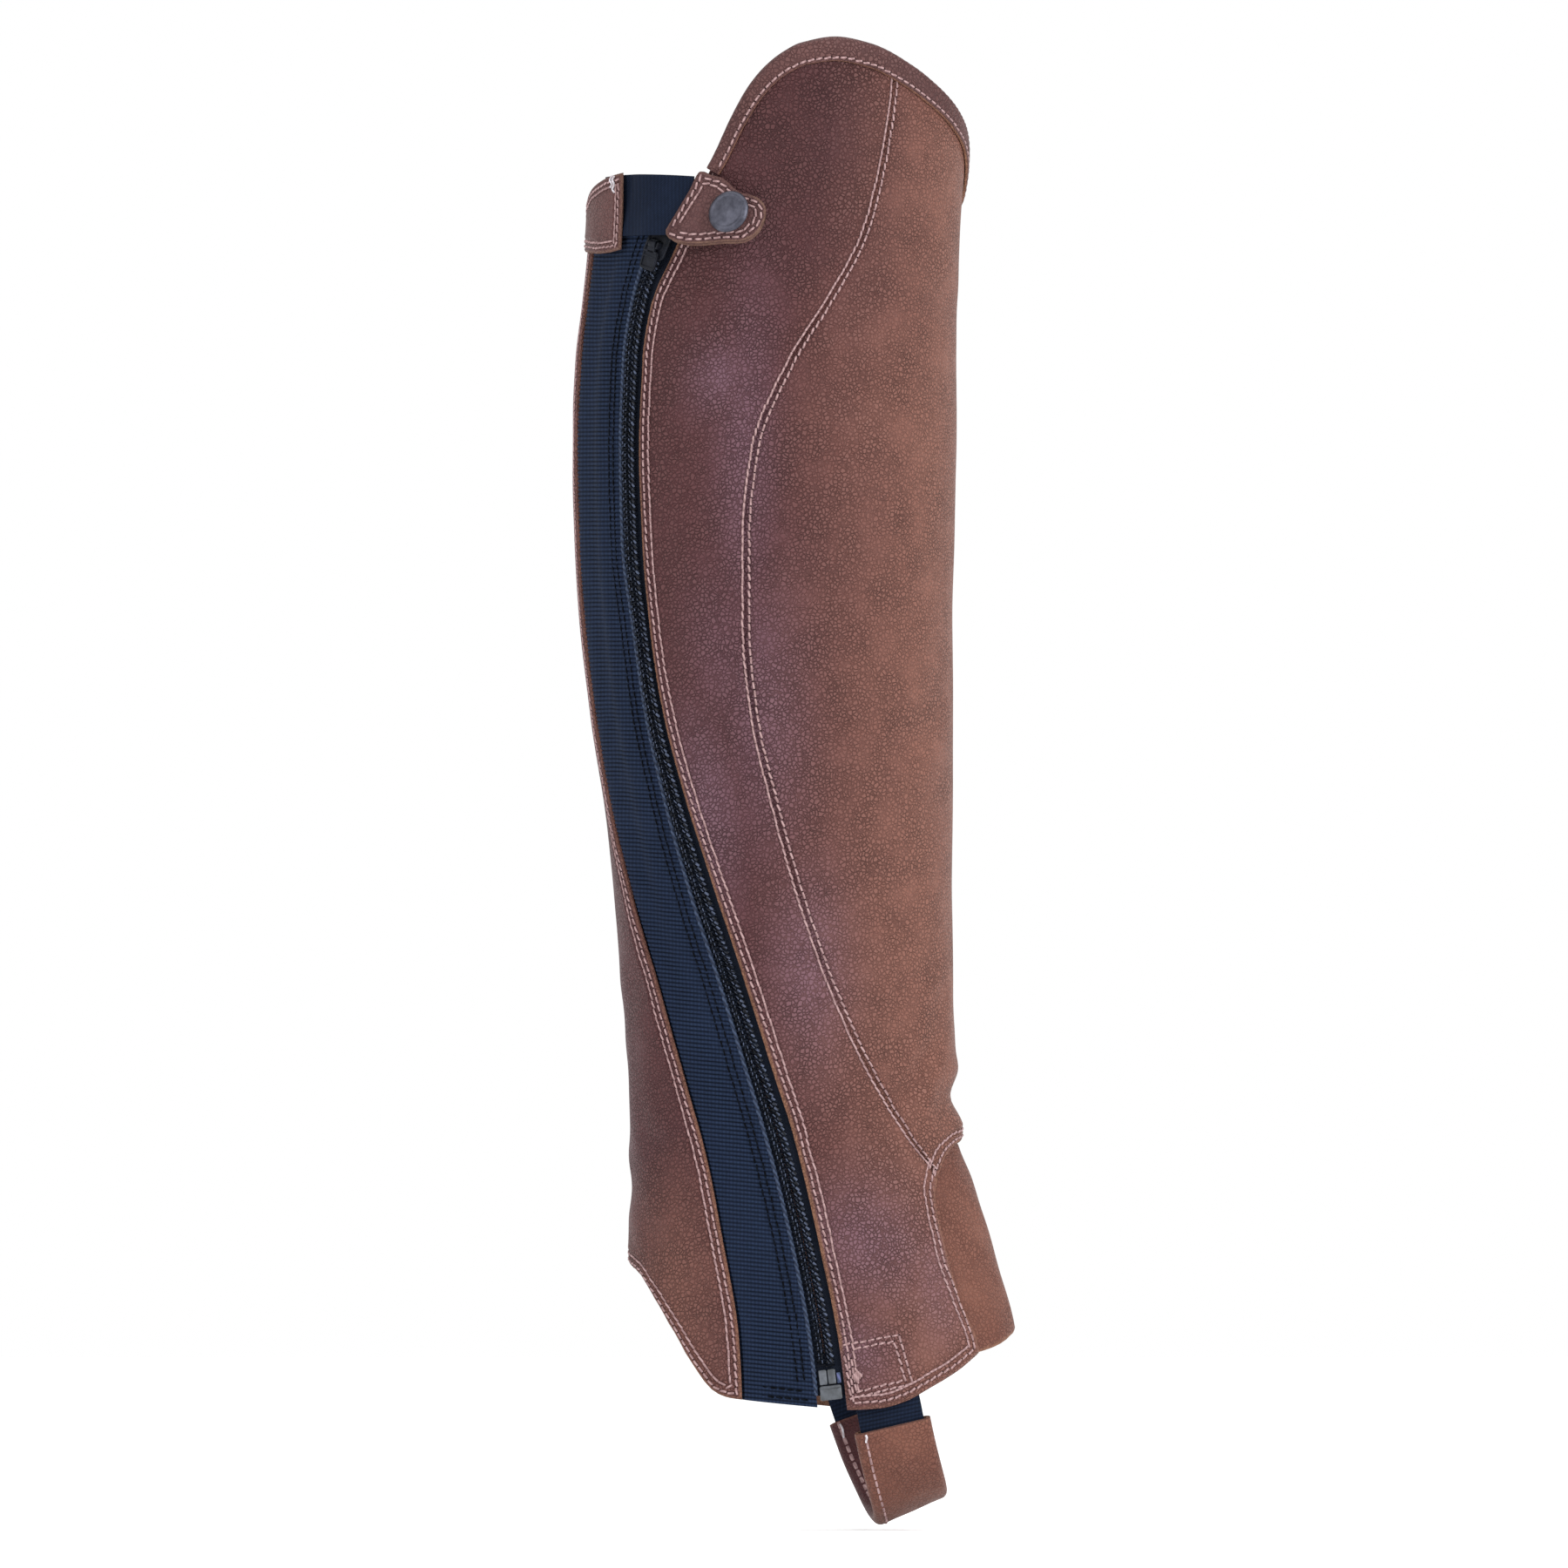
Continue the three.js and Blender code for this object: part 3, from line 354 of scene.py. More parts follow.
def unit(vectors):
    length = np.linalg.norm(vectors, axis=-1, keepdims=True)
    return vectors / np.maximum(length, 1e-9), length[..., 0]


class Lie:
    """How the face runs at some places: round the leg, up it and out of it."""

    def __init__(self, angle, height):
        angle = np.asarray(angle, float)
        height = np.asarray(height, float)
        self.round, self.per_degree = unit(face(angle + 0.5, height) - face(angle - 0.5, height))
        self.up, self.per_height = unit(face(angle, height + 0.5) - face(angle, height - 0.5))
        self.out, _ = unit(np.cross(self.round, self.up))


def relief(angle, height):
    """How far the creases and a slight unevenness move the face out, in millimetres."""
    angle, height = np.broadcast_arrays(np.asarray(angle, float), np.asarray(height, float))
    total = 0.28 * np.sin(angle * 0.071 + height * 0.023) * np.sin(height * 0.037 - angle * 0.019)
    total += 0.16 * np.sin(angle * 0.153 - height * 0.061 + 1.3) * np.sin(height * 0.083 + 0.7)
    lower = ramp(-height, 90, 220)
    folds = np.sin(angle * 0.21 + 3 * np.sin(height * 0.05)) * np.sin(height * 0.13 + angle * 0.07)
    total = total + 0.22 * lower * folds
    rows = np.stack(list(CREASES.columns.values()), -1)
    for at, middle, turn, length, width, depth, bow in rows:
        round_mm = ((angle - at + 180) % 360 - 180) * 0.95
        up_mm = height - middle
        cos, sin = math.cos(math.radians(turn)), math.sin(math.radians(turn))
        along = (round_mm * cos + up_mm * sin) / (length / 2)
        across = (-round_mm * sin + up_mm * cos - bow * along**2) / width
        fade = np.clip(1 - along**2, 0, None) ** 1.5
        trough = np.exp(-(across**2))
        lips = 0.45 * np.exp(-((np.abs(across) - 1.7) ** 2) * 1.5)
        total = total + depth * fade * (lips - trough)
    return total


def bloom(angle, height):
    """How much painted violet sheen, a painted reflection, the leather has at some places."""
    total = np.zeros(np.broadcast(angle, height).shape)
    for at, middle, round_half, up_half, strength in PAINTED_VIOLET_SHEEN_SPOTS:
        aside = ((angle - at + 180) % 360 - 180) / round_half
        above = (height - middle) / up_half
        total = np.maximum(total, strength * np.exp(-(aside**2) - above**2))
    return total


def lifted(angle, height, lift, creased=1.0):
    """Points on the chap, moved out by a lift, which is negative inside the face."""
    out = Lie(angle, height).out
    rise = np.asarray(lift, float) + creased * relief(angle, height)
    return face(angle, height) + out * rise[..., None]


def moved(angle, height, across, up):
    """Places some millimetres round the leg and up it from others."""
    lie = Lie(angle, height)
    return angle + across / lie.per_degree, height + up / lie.per_height


def angle_at(x, height):
    """The angle on the outer side where the face has a given X."""
    back = CHART.read("back", height)
    front = CHART.read("front", height)
    cos = ((back + front) / 2 - x) / ((front - back) / 2)
    return np.degrees(np.arccos(np.clip(cos, -1, 1)))


def edge_angle(column, height):
    return angle_at(CHART.read(column, height), height)


def zip_angle(height):
    return mix(edge_angle("goreEdge", height), edge_angle("zipEdge", height), ZIP_MIDDLE)


def instep_angle(height):
    return INSTEP.read("angle", np.minimum(height, ARCH_TOP))


def top_height(angle):
    return TOP_EDGE.read("height", angle)


def lower_height(angle):
    return LOWER_EDGE.read("height", np.abs(np.mod(angle, 360) - 180))


# ---------------------------------------------------------------- paths on the face


def evenly(path, spacing):
    """The places of a path, an array of angle and height rows, a given distance apart."""
    points = face(path[:, 0], path[:, 1])
    length = np.concatenate([[0], np.cumsum(np.linalg.norm(np.diff(points, axis=0), axis=1))])
    count = max(2, int(round(length[-1] / spacing)) + 1)
    at = np.linspace(0, length[-1], count)
    return np.stack([np.interp(at, length, path[:, k]) for k in (0, 1)], -1)


class Nearby:
    """Answers how far points are from a set of paths."""

    def __init__(self, paths):
        points = np.concatenate([face(p[:, 0], p[:, 1]) for p in paths])
        self.tree = kdtree.KDTree(len(points))
        for i, point in enumerate(points):
            self.tree.insert(point, i)
        self.tree.balance()

    def distance(self, angle, height):
        points = face(angle, height)
        found = [self.tree.find(p)[2] for p in points.reshape(-1, 3)]
        return np.array(found).reshape(points.shape[:-1])


def offset(path, distance):
    """The path moved to its left, seen from outside."""
    lie = Lie(path[:, 0], path[:, 1])
    points = face(path[:, 0], path[:, 1])
    run, _ = unit(np.gradient(points, axis=0))
    side = np.cross(lie.out, run)
    across = np.sum(side * lie.round, -1) * distance
    up = np.sum(side * lie.up, -1) * distance
    angle, height = moved(path[:, 0], path[:, 1], across, up)
    return np.stack([angle, height], -1)


def inset(path, distance):
    """A line that keeps its distance from a path on its left, corners too."""
    fine = evenly(path, 0.5)
    shifted = offset(fine, distance)
    clear = Nearby([fine]).distance(shifted[:, 0], shifted[:, 1])
    return evenly(shifted[clear > 0.96 * distance], 0.5)


def along_height(column, start, end, turn=0.0):
    height = np.linspace(start, end, 300)
    return np.stack([edge_angle(column, height) + turn, height], -1)


def along_hem(start, end, count=200):
    angle = np.linspace(start, end, count)
    return np.stack([angle, lower_height(angle)], -1)


def instep_side(side, reverse=False):
    """One side of the instep opening, from the arch's top down to the hem."""
    height = mix(ARCH_TOP, HEM_CORNER, np.linspace(0, 1, 120) ** 2)
    path = np.stack([180 + side * instep_angle(height), height], -1)
    return path[::-1] if reverse else path


def hem_crossing(column, turn=0.0):
    """The height where one of the chart's edges meets the lower edge."""
    return float(crossing(*FOOT_RANGE, lambda h: lower_height(edge_angle(column, h) + turn) - h))


def outer_panel_edge(beyond=0.0):
    """Down the zip side, along the hem and up the instep opening to the seam's end or beyond it."""
    foot = hem_crossing("zipEdge")
    corner = edge_angle("zipEdge", foot)
    up_instep = instep_side(-1, reverse=True)
    up_instep = up_instep[up_instep[:, 1] < SEAM_END + beyond]
    return np.concatenate(
        [
            along_height("zipEdge", 104, foot),
            along_hem(corner, up_instep[0, 0]),
            up_instep,
        ]
    )


def inner_panel_edge():
    """From the seam's end over the instep's arch, down its far side, along the hem and up the back."""
    near = instep_side(-1, reverse=True)
    near = near[near[:, 1] > SEAM_END]
    far = instep_side(1)
    foot = hem_crossing("backEdge", 360)
    corner = float(edge_angle("backEdge", foot)) + 360
    return np.concatenate(
        [
            near,
            far,
            along_hem(far[-1, 0], corner, 500),
            along_height("backEdge", foot, 80, 360),
        ]
    )


def seam_path():
    top = float(crossing(*HEAD_RANGE, lambda h: top_height(edge_angle("shinSeam", h)) - h))
    return along_height("shinSeam", top, SEAM_END + 1)


# Millimetres from each panel's edge, or from the shin seam, to its two stitched lines.
PANEL_ROWS = {"outer": (2.4, 4.5), "inner": (1.6, 3.8), "seam": (0.95, -1.35)}


def stitch_rows():
    """The stitched lines of the two panels, by name."""
    outer = outer_panel_edge(5.5)
    inner = inner_panel_edge()
    seam = evenly(seam_path(), 0.5)
    return {
        "outer": [inset(outer, d) for d in PANEL_ROWS["outer"]],
        "inner": [inset(inner, d) for d in PANEL_ROWS["inner"]],
        "seam": [offset(seam, -d) for d in PANEL_ROWS["seam"]],
        "hem_box": hem_box_rows(),
    }


# The corners of the square of stitching that holds the strap's end, on the outer side: X and height.
HEM_BOX = [(26.8, -292.9), (45.7, -289.4), (50.4, -305.9), (29.5, -311.0)]
HEM_BOX_APART = 2.0
KNOT = (31.4, -303.4)


def hem_box_rows():
    """Two rows of stitching round the strap's end behind the outer hem."""
    corners = np.array(HEM_BOX)
    middle = corners.mean(axis=0)
    rows = []
    for inward in (0.0, HEM_BOX_APART):
        reach = np.linalg.norm(corners - middle, axis=1, keepdims=True)
        ring = middle + (corners - middle) * (1 - 1.4 * inward / reach)
        ring = np.concatenate([ring, ring[:1]])
        at = np.linspace(0, 4, 121)
        x = np.interp(at, range(5), ring[:, 0])
        height = np.interp(at, range(5), ring[:, 1])
        rows.append(evenly(np.stack([angle_at(x, height), height], -1), 0.5))
    return rows


# ---------------------------------------------------------------- meshes


class Shape:
    """Points in millimetres, faces and per-point masks, gathered for one mesh."""

    def __init__(self):
        self.points = []
        self.faces = []
        self.masks = {}
        self.count = 0

    def add(self, points, faces, **masks):
        points = np.asarray(points, float).reshape(-1, 3)
        for chunk in faces:
            if len(chunk):
                self.faces.extend((np.asarray(chunk) + self.count).tolist())
        for name in set(self.masks) | set(masks):
            before = self.masks.setdefault(name, [np.zeros(self.count)])
            value = masks.get(name, 0.0)
            before.append(np.broadcast_to(np.asarray(value, float), (len(points),)).copy())
        self.points.append(points)
        self.count += len(points)
        return self

    def object(self, name, finish, body="root"):
        mesh = bpy.data.meshes.new(name)
        mesh.from_pydata((np.concatenate(self.points) * MM).tolist(), [], self.faces)
        for mask, chunks in self.masks.items():
            attribute = mesh.attributes.new(mask, "FLOAT", "POINT")
            attribute.data.foreach_set("value", np.concatenate(chunks).astype(np.float32))
        mesh.materials.append(finish)
        mesh.shade_smooth()
        mesh.set_sharp_from_angle(angle=math.radians(45))
        mesh.validate()
        made = bpy.data.objects.new(name, mesh)
        bpy.context.scene.collection.objects.link(made)
        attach(made, body)
        return made


def strip_faces(ids, closed=False):
    """Quads over a grid of point numbers. closed joins its last row to its first."""
    if closed:
        ids = np.concatenate([ids, ids[:, :1]], axis=1)
    corners = [ids[:-1, :-1], ids[1:, :-1], ids[1:, 1:], ids[:-1, 1:]]
    return np.stack(corners, -1).reshape(-1, 4)


def wall(grids, lift, thickness, raw=None, rows=None, creased=1.0, raw_width=1.3, ribs=None, bare=None):
    """A closed wall over grids of places. lift gives its outer surface, raw the distance to its raw
    edges, rows the distance to its stitched lines and bare how much of the leather's core its raw
    edges show, each from angles and heights. Where less of the core shows, the inner half of the cut
    edge gets painted shade."""
    flat = np.concatenate([g.reshape(-1, 2) for g in grids])
    _, first, inverse = np.unique(np.round(flat, 4), axis=0, return_index=True, return_inverse=True)
    inverse = inverse.reshape(-1)
    angle, height = flat[first].T
    quads = []
    start = 0
    for grid in grids:
        size = grid.shape[0] * grid.shape[1]
        quads.append(strip_faces(inverse[start : start + size].reshape(grid.shape[:2])))
        start += size
    quads = np.concatenate(quads)
    count = len(angle)
    ahead = np.roll(quads, -1, axis=1)
    edges = np.stack([quads.ravel(), ahead.ravel()], -1)
    free = edges[~np.isin(edges[:, 0] * count + edges[:, 1], edges[:, 1] * count + edges[:, 0])]
    surface = np.asarray(lift(angle, height), float) + np.zeros(count)
    masks = {"raw": np.zeros(count)}
    showing = np.ones(count)
    if raw is not None:
        away = raw(angle, height)
        wobble = 0.25 * np.sin(height * 1.9 + angle * 0.7) + 0.18 * np.sin(height * 4.3 - angle * 2.9)
        surface = surface - 0.75 * thickness * np.clip(1 - away / (1.3 * raw_width), 0, 1) ** 1.6
        if bare is not None:
            showing = showing * bare(angle, height)
        masks["raw"] = showing * (1 - ramp(away + 0.4 * wobble, 0.45 * raw_width, raw_width))
    if rows is not None:
        away = rows(angle, height)
        furrow = 0.38 * np.exp(-((away / 0.85) ** 2))
        surface = surface - furrow + 0.1 * np.exp(-(((away - 1.6) / 0.7) ** 2))
        masks["pressed"] = np.exp(-((away / 1.0) ** 2))
    # Painted violet sheen, a painted reflection, kept as a mask.
    masks["bloom"] = bloom(angle, height)
    # The rib mask carries the elastic's painted highlight on its ribs and painted shade in its grooves.
    if ribs is not None:
        masks["rib"] = ribs(angle, height)
    outer = lifted(angle, height, surface, creased)
    inner = lifted(angle, height, np.asarray(lift(angle, height)) - thickness, creased)
    side = np.stack([free[:, 1], free[:, 0], free[:, 0] + count, free[:, 1] + count], -1)
    faces = [quads, quads[:, ::-1] + count, side]
    both = {name: np.concatenate([mask, np.zeros(count)]) for name, mask in masks.items()}
    both["flesh"] = np.repeat([0.0, 1.0], count)
    edge_points = np.unique(free)
    both["raw"][edge_points + count] = showing[edge_points]
    both["flesh"][edge_points + count] = 0.0
    # Painted shade on the inner half of a cut edge, more where less of its core shows.
    both["shade"] = np.zeros(2 * count)
    both["shade"][edge_points + count] = 0.95 * (1 - showing[edge_points])
    return Shape().add(np.concatenate([outer, inner]), faces, **both)


class Columns:
    """Grid lines between edges: each is a blend of the edges' angles plus millimetres round the leg."""

    def __init__(self):
        self.weights = []
        self.shift = []

    def add(self, weights, shift):
        self.weights.append(weights)
        self.shift.append(shift)

    def fine_after(self, edge, zone, step):
        for distance in np.arange(0, zone, step):
            self.add(edge, distance)

    def fine_before(self, edge, zone, step):
        for distance in np.arange(zone, -step / 2, -step):
            self.add(edge, -max(distance, 0.0))

    def between(self, edge, other, zone_near, zone_far, steps):
        near, far = np.array(edge, float), np.array(other, float)
        for t in np.linspace(0, 1, steps + 1)[(0 if zone_near else 1) : -1]:
            self.add(tuple(mix(near, far, t)), mix(zone_near, -zone_far, t))

    def angles(self, edges, height):
        """The angle of every line at a height for each line, from the edges' angles there."""
        weights = np.array(self.weights)
        shift = np.array(self.shift)
        while shift.ndim < height.ndim:
            weights, shift = weights[:, None], shift[:, None]
        base = sum(weights[..., k] * edge for k, edge in enumerate(edges))
        return base + shift / Lie(base, height).per_degree


def heights_between(foot, head, fine_zone, fine_step, coarse_step):
    """Heights for each column, close together near the foot. The result has one row per column."""
    near = np.arange(0, fine_zone, fine_step)
    steps = max(2, int(round((np.max(head - foot) - fine_zone) / coarse_step)))
    far = np.linspace(0, 1, steps + 1)
    low = foot[:, None] + near[None, :]
    high = mix(foot[:, None] + fine_zone, head[:, None], far[None, :])
    return np.concatenate([low, high], axis=1)


FINE_ZONE, FINE_STEP, COARSE_STEP = 6.0, 0.5, 2.3


def outer_panel_grids():
    def right(height):
        seam = edge_angle("shinSeam", height)
        return np.where(height > SEAM_END, seam, 180 - instep_angle(height))

    def edges(height):
        return edge_angle("zipEdge", height), right(height)

    columns = Columns()
    columns.fine_after((1, 0), FINE_ZONE, FINE_STEP)
    columns.between((1, 0), (0, 1), FINE_ZONE, FINE_ZONE, 44)
    columns.fine_before((0, 1), FINE_ZONE, FINE_STEP)

    def at(height):
        return columns.angles(edges(height), height)

    count = len(columns.shift)
    foot = crossing(np.full(count, FOOT_RANGE[0]), FOOT_RANGE[1], lambda h: lower_height(at(h)) - h)
    head = crossing(np.full(count, HEAD_RANGE[0]), HEAD_RANGE[1], lambda h: top_height(at(h)) - h)
    seam = np.full(count, SEAM_END)
    low = heights_between(foot, seam, FINE_ZONE, FINE_STEP, COARSE_STEP)
    high = heights_between(seam, head, 0.0, 1.0, COARSE_STEP)
    return [np.stack([at(h), h], -1) for h in (low, high)]


def inner_panel_grids():
    seam_angle = float(edge_angle("shinSeam", SEAM_END))
    back_angle = 360 + float(edge_angle("backEdge", SEAM_END))
    instep_far = 180 + float(instep_angle(SEAM_END))
    split = (instep_far - seam_angle) / (back_angle - seam_angle)

    def upper_edges(height):
        left = edge_angle("shinSeam", height)
        right = 360 + edge_angle("backEdge", height)
        return left, mix(left, right, split), right

    def lower_edges(height):
        return 0 * height, 180 + instep_angle(height), 360 + edge_angle("backEdge", height)

    shin = Columns()
    shin.fine_after((1, 0, 0), FINE_ZONE, FINE_STEP)
    shin.between((1, 0, 0), (0, 1, 0), FINE_ZONE, 0, 34)
    side = Columns()
    side.fine_after((0, 1, 0), FINE_ZONE, FINE_STEP)
    side.between((0, 1, 0), (0, 0, 1), FINE_ZONE, FINE_ZONE, 84)
    side.fine_before((0, 0, 1), FINE_ZONE, FINE_STEP)
    whole = Columns()
    whole.weights = shin.weights + side.weights
    whole.shift = shin.shift + side.shift
    shins, count = len(shin.shift), len(whole.shift)

    def upper(height):
        return whole.angles(upper_edges(height), height)

    def arch(height):
        return instep_angle(height) - np.abs(upper(height) - 180)

    foot = crossing(np.full(count, SEAM_END), ARCH_TOP, arch)
    foot[0] = SEAM_END
    foot[shins:] = SEAM_END
    head = crossing(np.full(count, HEAD_RANGE[0]), HEAD_RANGE[1], lambda h: top_height(upper(h)) - h)
    high = heights_between(foot, head, FINE_ZONE, FINE_STEP, COARSE_STEP)

    def lower(height):
        return side.angles(lower_edges(height), height)

    lowest = np.full(count - shins, FOOT_RANGE[0])
    hem = crossing(lowest, FOOT_RANGE[1], lambda h: lower_height(lower(h)) - h)
    low = heights_between(hem, np.full(count - shins, SEAM_END), FINE_ZONE, FINE_STEP, COARSE_STEP)
    return [np.stack([upper(high), high], -1), np.stack([lower(low), low], -1)]


# ---------------------------------------------------------------- shader maths


class Value:
    """A node's output with Python's arithmetic: an expression on values adds its Math nodes."""

    def __init__(self, finish, socket):
        self.finish = finish
        self.socket = socket

    def maths(self, operation, *inputs):
        return self.finish.node("ShaderNodeMath", {"operation": operation}, dict(enumerate(inputs)))

    def __add__(self, other):
        return self.maths("ADD", self, other)

    def __radd__(self, other):
        return self.maths("ADD", other, self)

    def __sub__(self, other):
        return self.maths("SUBTRACT", self, other)

    def __rsub__(self, other):
        return self.maths("SUBTRACT", other, self)

    def __mul__(self, other):
        return self.maths("MULTIPLY", self, other)

    def __rmul__(self, other):
        return self.maths("MULTIPLY", other, self)

    def sine(self):
        return self.maths("SINE", self)

    def between(self, low, high):
        """0 at low, 1 at high and clamped outside them."""
        inputs = {"Value": self, "From Min": low, "From Max": high}
        return self.finish.node("ShaderNodeMapRange", {"clamp": True}, inputs)


class Finish:
    """A material and the nodes behind its surface."""

    def __init__(self, name, **constants):
        self.material = bpy.data.materials.new(name)
        self.material.use_nodes = True
        self.tree = self.material.node_tree
        self.surface = self.tree.nodes["Principled BSDF"]
        for socket, value in constants.items():
            self.surface.inputs[socket.replace("_", " ")].default_value = value

    def node(self, kind, settings, inputs, output=0):
        made = self.tree.nodes.new(kind)
        for name, value in settings.items():
            setattr(made, name, value)
        for key, value in inputs.items():
            if isinstance(value, Value):
                self.tree.links.new(value.socket, made.inputs[key])
            else:
                made.inputs[key].default_value = value
        return Value(self, made.outputs[output])

    def place(self):
        return self.node("ShaderNodeTexCoord", {}, {}, "Object")

    def axis(self, name):
        return self.node("ShaderNodeSeparateXYZ", {}, {"Vector": self.place()}, name)

    def mask(self, name):
        return self.node("ShaderNodeAttribute", {"attribute_name": name}, {}, "Fac")

    def noise(self, scale, detail=3.0, roughness=0.5):
        inputs = {"Vector": self.place(), "Scale": scale, "Detail": detail, "Roughness": roughness}
        return self.node("ShaderNodeTexNoise", {}, inputs, "Fac")

    def cells(self, scale, feature, vector):
        inputs = {"Vector": vector, "Scale": scale}
        return self.node("ShaderNodeTexVoronoi", {"feature": feature}, inputs, "Distance")

    def warped(self, scale, amount):
        """The place, pushed about by a noise."""
        push = self.node("ShaderNodeTexNoise", {}, {"Vector": self.place(), "Scale": scale}, "Color")
        inputs = {0: push, 1: (amount,) * 3, 2: self.place()}
        return self.node("ShaderNodeVectorMath", {"operation": "MULTIPLY_ADD"}, inputs)

    def blend(self, share, a, b):
        wrap = [c if isinstance(c, Value) else (*c, 1.0) for c in (a, b)]
        inputs = {0: share, 6: wrap[0], 7: wrap[1]}
        return self.node("ShaderNodeMix", {"data_type": "RGBA"}, inputs, 2)

    def bump(self, height, distance, strength=1.0):
        inputs = {"Height": height, "Distance": distance, "Strength": strength}
        self.feed("Normal", self.node("ShaderNodeBump", {}, inputs))

    def feed(self, socket, value):
        self.tree.links.new(value.socket, self.surface.inputs[socket])


def leather_finish(name, settings, dark, light, grain, tone_and_light_by_place, core=None):
    """Pebbled leather: fine creases round each pebble and longer wrinkles, deeper in some places.
    Toned by place, it is lighter towards the shin, changes with height and is darker at the top towards
    the back, partly as the leather's own tone and partly as painted light and shade, and it takes the
    painted violet sheen. core is its two colours at a cut edge."""
    made = Finish(name, Specular_IOR_Level=0.17)
    clouds = made.noise(22.0, 4.0, 0.6)
    mottle = made.noise(70.0, 4.0, 0.6)
    fibre = made.noise(1500.0, 2.0, 0.7)
    pebbles = made.cells(740.0, "DISTANCE_TO_EDGE", made.warped(460.0, 0.0016))
    wander = made.noise(150.0, 4.0, 0.62)
    depth = mottle.between(0.30, 0.70)
    creases = (1 - pebbles.between(0.0, 0.16)) * (0.45 + 0.55 * depth)
    away = (wander - 0.5).maths("ABSOLUTE")
    folds = (1 - away.between(0.0, 0.035)) * clouds.between(0.40, 0.62) * depth
    domes = pebbles.between(0.02, 0.18)
    if tone_and_light_by_place:
        # Lighter towards the shin and changing with height, darker at the top towards the back: partly
        # the leather's own tone, partly painted light and shade.
        lean = made.axis("X") + made.axis("Z") * -0.04 + (clouds - 0.5) * 0.024
        top_back = made.axis("Z").between(0.02, 0.11) * (1 - made.axis("X").between(0.03, 0.06))
        lean = lean - top_back * 0.016
        low = 1 - made.axis("Z").between(-0.265, -0.190)
        calf = 1 - made.axis("X").between(-0.030, 0.010)
        lean = lean + low * (calf * 0.078 - 0.022)
        colour = made.blend(lean.between(0.000, 0.060), dark, light)
        # Painted violet sheen: a painted reflection, strongest on the pebbles' tops.
        painted_violet = made.mask("bloom") * (0.40 + 0.50 * domes)
        colour = made.blend(painted_violet.between(0, 1), colour, settings.painted_violet_sheen_colour)
    else:
        colour = made.blend(clouds.between(0.3, 0.7), dark, light)
    # Painted highlight: the pebbles' tops and fine specks are lightened as sheen.
    painted_highlight = domes * (0.03 + 0.10 * depth) + (fibre - 0.5) * 0.12
    colour = made.blend(painted_highlight.between(0, 1), colour, settings.painted_sheen_colour)
    furrow = creases * 0.54 + folds * 0.28 + made.mask("pressed") * 0.15
    if tone_and_light_by_place:
        # Darker at the top towards the back, through the furrow colour: partly the leather's own tone,
        # partly painted shade.
        under_knee = made.axis("Z").between(0.05, 0.11) * (1 - made.axis("X").between(0.02, 0.05))
        furrow = furrow + under_knee * 0.22
    colour = made.blend(furrow.between(0, 1), colour, settings.grain_colour)
    # Painted shade: the far half of the sleeve, its ends and the inner half of cut edges.
    colour = made.blend(made.mask("shade"), colour, settings.shade_colour)
    fuzz = made.noise(900.0, 3.0, 0.7)
    core = core or (settings.raw_colour, settings.raw_light_colour)
    raw = made.blend(fuzz.between(0.3, 0.7), *core)
    flesh = made.blend(fuzz.between(0.3, 0.7), settings.flesh_colour, settings.raw_colour)
    colour = made.blend(made.mask("flesh"), colour, flesh)
    colour = made.blend(made.mask("raw"), colour, raw)
    made.feed("Base Color", colour)
    suede = made.mask("flesh") + made.mask("raw")
    made.feed("Roughness", (0.40 + 0.14 * mottle + 0.16 * creases + 0.4 * suede).between(0, 1))
    made.bump(domes * (0.3 + 0.7 * depth) - folds * 0.6 + fibre * 0.2, 0.0005, grain)
    return made.material


def elastic_finish(name, settings):
    """Ribbed elastic: each rib is a row of short floats, lightened as painted highlight, over a groove
    darkened as painted shade.
    """
    made = Finish(name, Specular_IOR_Level=0.08)
    floats = (made.axis("X") * 5200.0 + made.noise(90.0) * 5.0).sine() * 0.5 + 0.5
    fibre = made.noise(1300.0, 3.0, 0.7)
    wear = made.noise(45.0, 4.0, 0.6)
    rib = made.mask("rib")
    # Painted highlight on the ribs and painted shade in the grooves, through the rib mask; fibre and
    # wear are the elastic's own mottle.
    light = rib * (0.20 + 0.95 * fibre * (0.5 + 0.5 * floats)) + wear.between(0.5, 0.8) * 0.10
    colour = made.blend(light.between(0, 1), settings.elastic_colour, settings.elastic_light_colour)
    made.feed("Base Color", colour)
    made.feed("Roughness", 0.78 + 0.18 * fibre)
    made.bump(floats * 0.25 + fibre * 0.8, 0.00035, 0.6)
    return made.material


def thread_finish(name, dark, light, twist=2600.0, gloss=0.25):
    made = Finish(name, Specular_IOR_Level=gloss)
    strands = ((made.axis("X") + made.axis("Z") * 0.8 + made.axis("Y") * 0.6) * twist).sine()
    made.feed("Base Color", made.blend(strands * 0.35 + made.noise(700.0) * 0.6, dark, light))
    made.feed("Roughness", 0.62 + 0.2 * made.noise(500.0))
    made.bump(strands, 0.0001, 0.5)
    return made.material


def tape_finish(name, settings):
    made = Finish(name, Specular_IOR_Level=0.08)
    rows = (made.axis("Z") * 7000.0).sine() * (made.axis("X") * 7000.0).sine()
    fibre = made.noise(1200.0)
    made.feed("Base Color", made.blend(fibre, settings.tape_colour, settings.tape_light_colour))
    made.feed("Roughness", 0.8 + 0.15 * fibre)
    made.bump(rows + fibre, 0.0002, 0.5)
    return made.material


